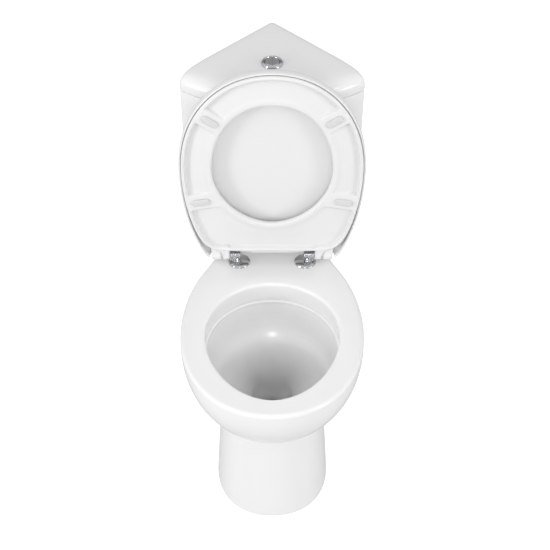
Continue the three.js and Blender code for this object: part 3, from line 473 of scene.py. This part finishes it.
def build_cistern(material):
    """Outside up from the rounded bottom edge to a ledge that the lid covers, over the top edge,
    and down the inside. The floor has no holes for its fixings."""
    around, top = 320, TOP - 31
    ledge, ledge_round, edge_round, foot_round = LID_LOW - 0.4, 1.6, 3, 14
    rings = []
    for inset, up in quarter(foot_round, 10):
        z = TANK_LOW + foot_round - up
        rings.insert(0, plan_ring(TANK_BACK + inset * 0.6, tank_draw(z, top) + inset, z, around))
    for z in np.linspace(TANK_LOW + 30, ledge - ledge_round, 16):
        rings.append(plan_ring(TANK_BACK, tank_draw(z, top), z, around))
    for inset, up in quarter(ledge_round, 5)[1:]:
        rings.append(plan_ring(TANK_BACK, TANK_FLUSH + inset, ledge - ledge_round + up, around))
    rings += [plan_ring(TANK_BACK, TANK_NECK, z, around) for z in (ledge, ledge + 0.6, top - edge_round)]
    for inset, up in quarter(edge_round, 6):
        rings.append(plan_ring(TANK_BACK + inset, TANK_NECK + inset, top - edge_round + up, around))
    for inset, up in quarter(edge_round, 6)[::-1]:
        rings.append(plan_ring(12 - inset, 13 - inset, top - edge_round + up, around))
    rings += [plan_ring(12, tank_draw(z, top) + 12.5, z, around) for z in (top - 60, TANK_LOW + 30)]
    rings += [plan_ring(14, tank_draw(TANK_LOW, top) + 15, TANK_LOW + 16, around)]
    rings += [plan_ring(20, tank_draw(TANK_LOW, top) + 23, TANK_LOW + 10, around)]
    part = rings_part(rings, start=True, end=True)
    return make_piece("cistern_china", [part], "base", "china", material, "cistern")


def build_lid(material):
    """A loop of rings: skirt, broad front shoulder, crown, hollow underside. The button's middle
    lies just ahead of the crown's inner outline, so the crown stays closed under the button."""
    around, top = 320, TOP
    levels = [(2.2, 3.2, LID_LOW), (1, 1.4, LID_LOW + 0.6), (0.3, 0.4, LID_LOW + 1.8),
              (0, 0, LID_LOW + 3.5), (0, 0, top - 27), (0, 0.5, top - 22), (0.1, 2.2, top - 17),
              (0.3, 5.4, top - 12.2),
              (0.7, 10.4, top - 8), (1.4, 17, top - 5), (2.4, 26, top - 3), (4, 38, top - 1.7),
              (8, 52, top - 0.9), (16, 68, top - 0.4), (30, 88, top - 0.1), (46, 106, top)]
    rings = [plan_ring(back, front, z, around) for back, front, z in levels]
    outer = rings[-1]
    # the button's ring has its points on the rays from the button's middle to the outline
    away = outer[:, :2] - [0, VALVE_D]
    reach = np.hypot(*away.T)[:, None]
    hole = np.hstack([[0, VALVE_D] + away / reach * 19, np.full((around, 1), float(top))])
    rings += [outer + (hole - outer) * share for share in (0.3, 0.6, 0.85, 1)]
    rings.append(hole + [0, 0, -9])
    under = plan_ring(24, 70, top - 9, around)
    rings += [under, plan_ring(14, 34, top - 14, around), plan_ring(8, 14, top - 30.6, around),
              plan_ring(2.4, 3.4, top - 30.7, around), plan_ring(2.4, 3.4, LID_LOW + 0.4, around)]
    part = rings_part(rings, loop=True)
    return make_piece("cistern_lid_china", [part], "lid", "china", material, "cistern_lid")


# ------------------------------------------------------------------ seat and cover
SEAT_LENGTH = BOWL_LENGTH - 4
SEAT_MIDDLE = SEAT_LENGTH * 0.507


def seat_edge(turn, grow, back=303, flat=SEAT_MIDDLE - 19, soft=16):
    """The seat's outer outline: an egg whose back is cut straight across with soft corners."""
    front = SEAT_LENGTH - SEAT_MIDDLE + grow
    round_reach = egg_reach(turn, 185 + grow, front, back + grow, 2.1, 2.0)
    cut = np.where(np.cos(turn) < -1e-3, flat / np.maximum(-np.cos(turn), 1e-3), 1e4)
    return (round_reach**-soft + cut**-soft) ** (-1 / soft)


def hole_edge(turn):
    """The seat's hole: an egg, measured from a middle a little behind the seat's."""
    front = SEAT_LENGTH - 66.4 - SEAT_MIDDLE + 3
    return egg_reach(turn, 122.6, front, SEAT_MIDDLE - 3 - 91.4, 2.15, 1.88)


def closed_to_raised(points):
    """Points (s, u ahead of the axis, w above it) of the closed seat, turned up to the rest pose
    and put at the hinge."""
    points = np.asarray(points, float)
    s, u, w = points[..., 0], points[..., 1], points[..., 2]
    back = u * -math.cos(TILT) + w * math.sin(TILT)
    up = u * math.sin(TILT) + w * math.cos(TILT)
    return np.stack([s, HINGE_D - back, HINGE_Z + up], -1)


PADS = [(123.5, 342.5, 34.0), (-123.5, 342.5, 146.0), (146.3, 147.0, -10.0), (-146.3, 147.0, 190.0)]


def bridge(s, u):
    """1 on the four platforms that carry the buffers, 0 in the channel, with soft flanks."""
    height = np.zeros_like(s)
    for pad_s, pad_u, tilt in PADS:
        a = math.radians(tilt)
        across = np.abs(-(s - pad_s) * math.sin(a) + (u - pad_u) * math.cos(a))
        same_side = (s * pad_s > 0) & (np.abs(u - pad_u) < 90)
        flank = np.clip((20.5 - across) / 2.4, 0, 1)
        height = np.maximum(height, np.where(same_side, flank * flank * (3 - 2 * flank), 0))
    return height


def seat_section():
    """Knots of the seat's section: share of the way from hole to edge, in from either end, w."""
    top, under = SEAT_TOP, SEAT_UNDER
    knots = []
    for inset, up in quarter(4, 6):
        knots.append(("edge", inset, under + 4 - up))
    knots = knots[::-1]
    knots += [("edge", -0.0, (under + top) / 2), ("edge", 0.4, top - 9)]
    for a in np.linspace(15, 90, 7):
        r = math.radians(a)
        knots.append(("edge", 12 * (1 - math.cos(r)), top - 8 + 8 * math.sin(r)))
    knots += [("edge", 22, top), ("hole", 26, top)]
    for a in np.linspace(90, 5, 9):
        r = math.radians(a)
        knots.append(("hole", 16 * (1 - math.cos(r)), top - 13 + 13 * math.sin(r)))
    for a in np.linspace(0, 90, 7):
        r = math.radians(a)
        knots.append(("hole", 5 * (1 - math.cos(r)), under + 5 - 5 * math.sin(r)))
    return knots


CHANNEL_DEPTH = 10.0  # of the seat's underside at its outer wall


def channel_ring(inner, inward, from_hole, deep):
    """One ring of the seat's underside: deep below its edges, but level on the platforms."""
    flat = inner - inward * from_hole
    raised = bridge(flat[:, 0], flat[:, 1])[:, None]
    return np.hstack([flat, SEAT_UNDER + deep * (1 - raised)])


def seat_moulding():
    """The ring seat: a closed section carried round the hole, hollow underneath, with a wall at
    its edge, a rounded ridge round the hole, and platforms across the channel between them."""
    around = 960
    turn = turns(around)
    edge, hole = seat_edge(turn, 0), hole_edge(turn)
    outer = np.stack([edge * np.sin(turn), SEAT_MIDDLE + edge * np.cos(turn)], -1)
    inner = np.stack([hole * np.sin(turn), SEAT_MIDDLE - 3 + hole * np.cos(turn)], -1)
    width = np.hypot(*(outer - inner).T)[:, None]
    inward = (inner - outer) / width
    rings = []
    for start, inset, w in seat_section():
        flat = outer + inward * inset if start == "edge" else inner - inward * inset
        rings.append(np.hstack([flat, np.full((around, 1), float(w))]))
    # across the channel, from the ridge by the hole to the wall at the edge: depth in mm
    lip, ridge = 7.5, 8.5
    steps = [(0, 0), (1.5, 0.12), (3, 0.5), (5, 1.2), (7, 2.0), (9, 2.7), (11, 3.2), (14, 3.7)]
    steps = [(ridge + x, deep) for x, deep in steps]
    slope_start, slope_depth = steps[-1]
    for x, deep in steps:
        rings.append(channel_ring(inner, inward, x, deep))
    for share in np.linspace(0, 1, 12)[1:]:
        x = slope_start + share * (width - lip - 2.6 - slope_start)
        deep = slope_depth + share * (CHANNEL_DEPTH - slope_depth)
        rings.append(channel_ring(inner, inward, x, deep))
    for x, share in [(2.0, 1), (1.5, 0.9), (1.0, 0.6), (0.5, 0.2), (0, 0)]:
        rings.append(channel_ring(inner, inward, width - lip - x, CHANNEL_DEPTH * share))
    return rings_part([closed_to_raised(ring) for ring in rings], loop=True)


def lug(side, inner, outer, reach, low, high, flare):
    """A hinge lug in (s, u, w): rings along u from the moulding to the round end below the axis.
    Its outer side flares into the moulding on an S-curve. It is solid, with no bore for the pin."""
    rings = []
    for u in list(np.linspace(reach, 2, 12)) + list(10.2 * -np.sin(np.radians(np.linspace(0, 84, 9)))):
        x = min(max((u - 2) / (reach - 2), 0), 1)
        spread = flare * x * x * (3 - 2 * x)
        fall = math.sqrt(max(1 - (min(u, 0) / 10.3) ** 2, 0.01))
        bottom = low * x + -10.2 * fall * (1 - x)
        ceiling = high * x + 10.2 * fall * (1 - x)
        middle, half = (inner + outer + spread) / 2, (outer + spread - inner) / 2
        turn = turns(32)
        r = egg_reach(turn, half, (ceiling - bottom) / 2, (ceiling - bottom) / 2, 6, 6)
        ring = np.stack([side * (middle + r * np.sin(turn)), np.full(32, float(u)),
                         (ceiling + bottom) / 2 + r * np.cos(turn)], -1)
        rings.append(closed_to_raised(ring))
    return rings_part(rings, start=True, end=True)


def build_seat(material):
    parts = [seat_moulding()]
    parts += [lug(side, 89.6, 104, 30, SEAT_UNDER + 1, 2, 16) for side in (1, -1)]
    return make_piece("seat_moulding", parts, "seat", "seat_white", material, "seat")


LUG_CLEAR = 10.6  # height over the hinge's axis that the cover's back edge keeps
COVER_GROW = 5  # the cover's outline beyond the seat's
COVER_BACK = 325
COVER_CORNER = 46  # power of the back corners: higher is sharper


def cover_moulding():
    """The cover: a shallow dish with a soft shoulder, a skirt round the seat and an even wall."""
    around = 400
    turn = turns(around)
    flat = SEAT_MIDDLE + 4
    rings = []
    levels = [(1.6, SKIRT_UNDER), (0.5, SKIRT_UNDER + 0.8), (0, SKIRT_UNDER + 2.4), (0, COVER_TOP - 14)]
    for a in np.linspace(6, 90, 10):
        r = math.radians(a)
        levels.append((14 * (1 - math.cos(r)), COVER_TOP - 14 + 10.5 * math.sin(r)))
    for inset, fall in [(24, 2.9), (40, 2.1), (65, 1.2), (100, 0.5), (140, 0.1), (180, 0)]:
        levels.append((inset, COVER_TOP - fall))
    under = [(180, COVER_TOP - 6), (140, COVER_TOP - 6.1), (100, COVER_TOP - 6.4),
             (60, COVER_TOP - 7.2), (30, COVER_TOP - 8.6), (17, COVER_TOP - 9.6),
             (10, COVER_TOP - 11.4), (6, COVER_TOP - 15), (4.6, COVER_TOP - 20),
             (4.2, SKIRT_UNDER + 1.5), (3.4, SKIRT_UNDER)]
    for inset, w in levels[::-1] + under[::-1]:
        outline = seat_edge(turn, COVER_GROW - inset, COVER_BACK, flat - inset, COVER_CORNER)
        distance = np.maximum(outline, 12)
        rings.append(np.stack([distance * np.sin(turn), SEAT_MIDDLE + distance * np.cos(turn),
                               np.full(around, float(w))], -1))
    # the skirt is left out between the hinge's eyes: its back edge folds up under the dish
    for ring in rings:
        back_edge = (ring[:, 1] < 32) & (np.abs(ring[:, 0]) < 131)
        ring[:, 2] = np.where(back_edge, np.maximum(ring[:, 2], LUG_CLEAR), ring[:, 2])
    return rings_part([closed_to_raised(ring) for ring in rings], start=True, end=True)


def build_cover(material):
    parts = [cover_moulding()]
    parts += [lug(side, 107.6, 127.3, 28, 3, COVER_TOP - 7, 4) for side in (1, -1)]
    return make_piece("cover_moulding", parts, "cover", "seat_white", material, "cover")


def build_buffers(material):
    """Four oval pads, each a domed stadium on its platform."""
    names = ["front_right", "front_left", "back_right", "back_left"]
    for name, (pad_s, pad_u, tilt) in zip(names, PADS):
        turn = turns(64)
        a = math.radians(tilt)
        rings = []
        for inset, up in [(1.2, 0)] + [(x, 1.2 + y) for x, y in quarter(3.2, 7)]:
            half, long = 7.5 - inset, 19 - inset
            x = half * np.sin(turn)
            y = half * np.cos(turn) + np.clip(np.cos(turn) * 6, -1, 1) * (long - half)
            s = pad_s + y * math.cos(a) - x * math.sin(a)
            u = pad_u + y * math.sin(a) + x * math.cos(a)
            rings.append(closed_to_raised(np.stack([s, u, np.full(64, SEAT_UNDER - 0.3 - up)], -1)))
        part = rings_part(rings, start=True, end=True)
        make_piece(f"{name}_pad", [part], "seat", "buffer_grey", material, f"{name}_seat_buffer")


# ------------------------------------------------------------------ hinges and push button
GAP = 0.3  # between touching pieces
HINGE_S = 70


def build_hinges(chrome):
    """On each side: a domed cap turned on the rim, a grooved barrel turned across on a neck,
    and a slim upright pin in front of it."""
    for name, side in (("right", 1), ("left", -1)):
        cap_low = RIM + GAP
        cap = [(23, cap_low), (23, cap_low + 1.0), (22.8, cap_low + 1.5), (22.2, cap_low + 2.2),
               (20.8, cap_low + 3.4), (18.4, cap_low + 4.5), (15, cap_low + 5.3), (10, cap_low + 5.8),
               (4, cap_low + 6.0)]
        make_piece(f"{name}_cap", [revolved(side * HINGE_S, HINGE_D, cap, 96)], "base", "chrome", chrome,
                   f"{name}_hinge_cap")
        barrel = [(67, 6.4), (67.2, 7.3), (68, 8), (71.6, 8), (72.1, 7.5), (72.9, 7.5), (73.4, 8),
                  (82.6, 8), (83.1, 7.5), (83.9, 7.5), (84.4, 8), (88, 8), (88.8, 7.3), (89, 6.4)]
        barrel = [(side * s, r) for s, r in barrel]
        neck = rounded_box(side * 78 - 8.5, side * 78 + 8.5, HINGE_D - 6, HINGE_D + 4.5,
                           cap_low + 4.5, HINGE_Z - 3, 1.2)
        pin = [(2.4, cap_low + 4), (2.4, cap_low + 6.4), (1.7, cap_low + 7), (1.7, HINGE_Z - 6),
               (1.2, HINGE_Z - 4)]
        parts = [revolved_across(barrel, HINGE_D, HINGE_Z), neck,
                 revolved(side * 79.5, HINGE_D + 6.1, pin, 24)]
        make_piece(f"{name}_post", parts, "base", "chrome", chrome, f"{name}_hinge_post")


def build_button(chrome, mirror):
    """A domed ring turned about the button's axis, and a round face split in two halves."""
    low = TOP + GAP
    ring = [(16.0, low), (22.5, low), (22.5, low + 0.8), (22.3, low + 1.8), (21.7, low + 3.2),
            (20.7, low + 4.5), (19.4, low + 5.5), (18.2, low + 6), (17.2, low + 5.7), (16.5, low + 4.9),
            (16.05, low + 3.6)]
    make_piece("bezel_ring", [revolved(0, VALVE_D, ring, 128, loop=True)], "lid", "chrome", chrome,
               "button_bezel")
    face = TOP + GAP + 6 * 0.7
    for name, side in (("full", 1), ("half", -1)):
        rings = []
        a = np.linspace(-math.pi / 2, math.pi / 2, 49)
        for r, z in [(15.5, face - 6), (15.5, face - 1.1), (15.3, face - 0.6), (14.8, face - 0.2),
                     (12, face + 0.02), (8, face + 0.12), (3, face + 0.2)]:
            arc = np.stack([0.3 + (r - 0.3) * np.cos(a), VALVE_D + r * np.sin(a)], -1)
            chord = np.stack([np.full(15, 0.3), VALVE_D + np.linspace(r, -r, 17)[1:-1]], -1)
            flat = np.vstack([arc, chord])
            flat[:, 0] *= side
            rings.append(np.hstack([flat, np.full((len(flat), 1), z)]))
        stem = revolved(side * 8, VALVE_D, [(4, TOP - 20.9), (4, face - 5.5)], 24)
        make_piece(f"{name}_flush_face", [rings_part(rings, start=True, end=True), stem], f"{name}_button",
                   "button_mirror", mirror, f"{name}_flush_button")


# ------------------------------------------------------------------ materials
def add_socket(group, name, kind, way):
    return group.interface.new_socket(name=name, in_out=way, socket_type=kind)


def surface_group():
    """Shared surface effect: colour drifts a little, roughness varies with fine smears and dust in
    long soft patches, and the normal ripples as a glaze or a moulding does."""
    group = bpy.data.node_groups.new("drift and ripple", "ShaderNodeTree")
    add_socket(group, "Colour", "NodeSocketColor", "INPUT")
    for name in ("Drift", "Roughness", "Smear", "Patch Size", "Ripple Size", "Ripple Height"):
        add_socket(group, name, "NodeSocketFloat", "INPUT")
    add_socket(group, "Colour", "NodeSocketColor", "OUTPUT")
    add_socket(group, "Roughness", "NodeSocketFloat", "OUTPUT")
    add_socket(group, "Normal", "NodeSocketVector", "OUTPUT")
    nodes, links = group.nodes, group.links
    came, gone = nodes.new("NodeGroupInput"), nodes.new("NodeGroupOutput")
    place = nodes.new("ShaderNodeTexCoord")

    def noise(size, detail):
        node = nodes.new("ShaderNodeTexNoise")
        links.new(place.outputs["Object"], node.inputs["Vector"])
        links.new(came.outputs[size], node.inputs["Scale"])
        node.inputs["Detail"].default_value = detail
        return node.outputs["Fac"]

    def sum_of(value, spread, amount):
        """value + (spread - 0.5) * amount"""
        centred = nodes.new("ShaderNodeMath")
        centred.operation = "SUBTRACT"
        centred.inputs[1].default_value = 0.5
        links.new(spread, centred.inputs[0])
        scaled = nodes.new("ShaderNodeMath")
        scaled.operation = "MULTIPLY_ADD"
        links.new(centred.outputs[0], scaled.inputs[0])
        links.new(amount, scaled.inputs[1])
        if value is None:
            scaled.inputs[2].default_value = 1.0
        else:
            links.new(value, scaled.inputs[2])
        return scaled.outputs[0]

    patch = noise("Patch Size", 3.0)
    shade = sum_of(None, patch, came.outputs["Drift"])
    tint = nodes.new("ShaderNodeVectorMath")
    tint.operation = "SCALE"
    links.new(came.outputs["Colour"], tint.inputs[0])
    links.new(shade, tint.inputs["Scale"])
    links.new(tint.outputs[0], gone.inputs["Colour"])
    links.new(sum_of(came.outputs["Roughness"], patch, came.outputs["Smear"]), gone.inputs["Roughness"])
    bump = nodes.new("ShaderNodeBump")
    links.new(noise("Ripple Size", 2.0), bump.inputs["Height"])
    links.new(came.outputs["Ripple Height"], bump.inputs["Distance"])
    bump.inputs["Strength"].default_value = 1.0
    links.new(bump.outputs[0], gone.inputs["Normal"])
    return group


def edge_group():
    """Shared mask of convex edges from the surface's pointiness: 0 on flats, 1 on sharp edges."""
    group = bpy.data.node_groups.new("edge mask", "ShaderNodeTree")
    add_socket(group, "Low", "NodeSocketFloat", "INPUT").default_value = 0.5
    add_socket(group, "High", "NodeSocketFloat", "INPUT").default_value = 0.6
    add_socket(group, "Mask", "NodeSocketFloat", "OUTPUT")
    nodes, links = group.nodes, group.links
    came, gone = nodes.new("NodeGroupInput"), nodes.new("NodeGroupOutput")
    shape = nodes.new("ShaderNodeNewGeometry")
    spread = nodes.new("ShaderNodeMapRange")
    links.new(shape.outputs["Pointiness"], spread.inputs["Value"])
    links.new(came.outputs["Low"], spread.inputs["From Min"])
    links.new(came.outputs["High"], spread.inputs["From Max"])
    links.new(spread.outputs["Result"], gone.inputs["Mask"])
    return group


SURFACE = surface_group()
EDGES = edge_group()


def finish(name, colour, roughness, metallic=0.0, coat=0.0, coat_roughness=0.03, drift=0.02, smear=0.02,
           patch=6.0, ripple=40.0, height=0.00002, edge_colour=None, ior=1.5):
    """A Principled material fed by the shared groups. edge_colour shows where convex edges wear."""
    made = bpy.data.materials.new(name)
    made.use_nodes = True
    nodes, links = made.node_tree.nodes, made.node_tree.links
    shader = nodes["Principled BSDF"]
    surface = nodes.new("ShaderNodeGroup")
    surface.node_tree = SURFACE
    for socket, value in (("Colour", (*colour, 1)), ("Drift", drift), ("Roughness", roughness),
                          ("Smear", smear), ("Patch Size", patch), ("Ripple Size", ripple),
                          ("Ripple Height", height)):
        surface.inputs[socket].default_value = value
    colour_out = surface.outputs["Colour"]
    if edge_colour:
        edges = nodes.new("ShaderNodeGroup")
        edges.node_tree = EDGES
        mix = nodes.new("ShaderNodeMix")
        mix.data_type = "RGBA"
        links.new(edges.outputs["Mask"], mix.inputs[0])
        links.new(colour_out, mix.inputs[6])
        mix.inputs[7].default_value = (*edge_colour, 1)
        colour_out = mix.outputs[2]
    links.new(colour_out, shader.inputs["Base Color"])
    links.new(surface.outputs["Roughness"], shader.inputs["Roughness"])
    links.new(surface.outputs["Normal"], shader.inputs["Normal"])
    shader.inputs["Metallic"].default_value = metallic
    shader.inputs["IOR"].default_value = ior
    shader.inputs["Coat Weight"].default_value = coat
    shader.inputs["Coat Roughness"].default_value = coat_roughness
    return made


CHINA = finish("glazed china", (0.85, 0.85, 0.85), 0.25, coat=0.35, coat_roughness=0.13, drift=0.01,
               smear=0.03, patch=5, ripple=14, height=0.00008)
SEAT = finish("gloss seat moulding", (0.795, 0.795, 0.795), 0.36, drift=0.008, smear=0.03, patch=8, ripple=60,
              height=0.00002, coat=0.15, coat_roughness=0.22)
PAD = finish("soft buffer", (0.67, 0.67, 0.67), 0.55, drift=0.06, smear=0.1, patch=60, ripple=900,
             height=0.00002)
CHROME = finish("polished chrome", (0.53, 0.54, 0.55), 0.07, metallic=1.0, drift=0.03, smear=0.04, patch=40,
                ripple=200, height=0.000004)
MIRROR = finish("button mirror", (0.68, 0.69, 0.7), 0.045, metallic=1.0, drift=0.03, smear=0.03, patch=50,
                ripple=200, height=0.000003)
STEEL = finish("stainless steel", (0.6, 0.61, 0.62), 0.3, metallic=1.0, drift=0.1, smear=0.15, patch=90,
               ripple=500, height=0.00001, edge_colour=(0.8, 0.8, 0.8))
BRASS = finish("bare brass", (0.62, 0.46, 0.2), 0.32, metallic=1.0, drift=0.2, smear=0.2, patch=80,
               ripple=400, height=0.00001, edge_colour=(0.85, 0.7, 0.4))
WHITE_PLASTIC = finish("white fitting plastic", (0.8, 0.8, 0.78), 0.42, drift=0.05, smear=0.12, patch=30,
                       ripple=500, height=0.00002)
GREY_PLASTIC = finish("grey fitting plastic", (0.34, 0.36, 0.37), 0.45, drift=0.08, smear=0.12, patch=30,
                      ripple=500, height=0.00002)
RUBBER = finish("black rubber", (0.03, 0.03, 0.032), 0.7, drift=0.3, smear=0.15, patch=70, ripple=700,
                height=0.00004, edge_colour=(0.07, 0.07, 0.07))
BY_SLOT = {"china": CHINA, "seat_white": SEAT, "buffer_grey": PAD, "chrome": CHROME, "button_mirror": MIRROR,
           "steel": STEEL, "brass": BRASS, "white_plastic": WHITE_PLASTIC, "grey_plastic": GREY_PLASTIC,
           "rubber": RUBBER}


def dress_cad_nodes():
    """The fittings that keep their CAD shape take the finish of their slot."""
    for part in frame["record"]["subparts"]:
        node = frame["nodes"][part["node"]]
        node.data.materials.clear()
        node.data.materials.append(BY_SLOT[part["material_slot"]])


# ------------------------------------------------------------------ floor, light and camera
def build_floor():
    mesh = bpy.data.meshes.new("floor")
    half = 30
    corners = [(-half, -half, 0), (half, -half, 0), (half, half, 0), (-half, half, 0)]
    mesh.from_pydata(corners, [], [(0, 1, 2, 3)])
    floor = bpy.data.objects.new("floor", mesh)
    bpy.context.scene.collection.objects.link(floor)
    made = bpy.data.materials.new("pale floor")
    made.use_nodes = True
    nodes, links = made.node_tree.nodes, made.node_tree.links
    shader = nodes["Principled BSDF"]
    shader.inputs["Roughness"].default_value = 0.9
    shader.inputs["Specular IOR Level"].default_value = 0.0
    shader.inputs["Emission Color"].default_value = (1, 1, 1, 1)
    rays = nodes.new("ShaderNodeLightPath")
    lift = nodes.new("ShaderNodeMath")
    lift.operation = "MULTIPLY"
    lift.inputs[1].default_value = 0.6
    links.new(rays.outputs["Is Camera Ray"], lift.inputs[0])
    links.new(lift.outputs[0], shader.inputs["Emission Strength"])
    noise = nodes.new("ShaderNodeTexNoise")
    noise.inputs["Scale"].default_value = 2.0
    ramp = nodes.new("ShaderNodeMapRange")
    ramp.inputs["To Min"].default_value = 0.66
    ramp.inputs["To Max"].default_value = 0.68
    links.new(noise.outputs["Fac"], ramp.inputs["Value"])
    links.new(ramp.outputs["Result"], shader.inputs["Base Color"])
    mesh.materials.append(made)


def soft_light(name, place, aim, size, power):
    data = bpy.data.lights.new(name, "AREA")
    data.shape = "RECTANGLE"
    data.size, data.size_y = size
    data.energy = power
    lamp = bpy.data.objects.new(name, data)
    lamp.location = place
    lamp.rotation_mode = "QUATERNION"
    lamp.rotation_quaternion = (Vector(aim) - Vector(place)).to_track_quat("-Z", "Y")
    bpy.context.scene.collection.objects.link(lamp)


def build_light():
    world = bpy.data.worlds.new("pale room")
    world.use_nodes = True
    nodes, links = world.node_tree.nodes, world.node_tree.links
    nodes["Background"].inputs["Color"].default_value = (1, 1, 1, 1)
    place, split = nodes.new("ShaderNodeTexCoord"), nodes.new("ShaderNodeSeparateXYZ")
    fade = nodes.new("ShaderNodeMapRange")
    fade.interpolation_type = "SMOOTHSTEP"
    for name, value in (("From Min", 0.4), ("From Max", 0.78), ("To Min", 0.86), ("To Max", 0.34)):
        fade.inputs[name].default_value = value
    links.new(place.outputs["Generated"], split.inputs[0])
    links.new(split.outputs["Y"], fade.inputs["Value"])
    links.new(fade.outputs["Result"], nodes["Background"].inputs["Strength"])
    bpy.context.scene.world = world
    bpy.context.scene.view_settings.view_transform = "Standard"
    middle = (0, -0.1, 0.4)
    soft_light("key", (-3.2, -1.9, 1.35), middle, (0.8, 0.8), 33)
    soft_light("fill", (3.2, -1.9, 1.35), middle, (0.8, 0.8), 20)
    for name, side in (("left spark", -1), ("right spark", 1)):
        soft_light(name, (side * 2.3, -1.5, 2.9), (0, -0.1, 0.3), (0.22, 0.22), 4.5)
    soft_light("front", (0, -3.2, 2.5), middle, (0.7, 0.7), 16)


CAMERA_D = 2814
CAMERA_Z = 2586
CAMERA_PITCH = math.radians(42)
CAMERA_BACK = 36  # the width behind the lens, in millimetres as the lens is
CAMERA_LENS = 101.454545
CAMERA_SHIFT = 0.0049090909  # sideways, as a part of the picture's width


def build_camera():
    """A long lens well in front, looking down."""
    camera = bpy.data.objects.new("camera", bpy.data.cameras.new("camera"))
    camera.location = (0.2 * MM, (DEPTH / 2 - CAMERA_D) * MM, CAMERA_Z * MM)
    camera.rotation_euler = (math.pi / 2 - CAMERA_PITCH, 0, 0)
    camera.data.sensor_width = CAMERA_BACK
    camera.data.lens = CAMERA_LENS
    camera.data.shift_x = CAMERA_SHIFT
    camera.data.clip_start = 0.05
    bpy.context.scene.collection.objects.link(camera)
    bpy.context.scene.camera = camera


build_camera()
build_light()
build_floor()
dress_cad_nodes()
build_pan(CHINA)
build_cistern(CHINA)
build_lid(CHINA)
build_seat(SEAT)
build_cover(SEAT)
build_buffers(PAD)
build_hinges(CHROME)
build_button(CHROME, MIRROR)
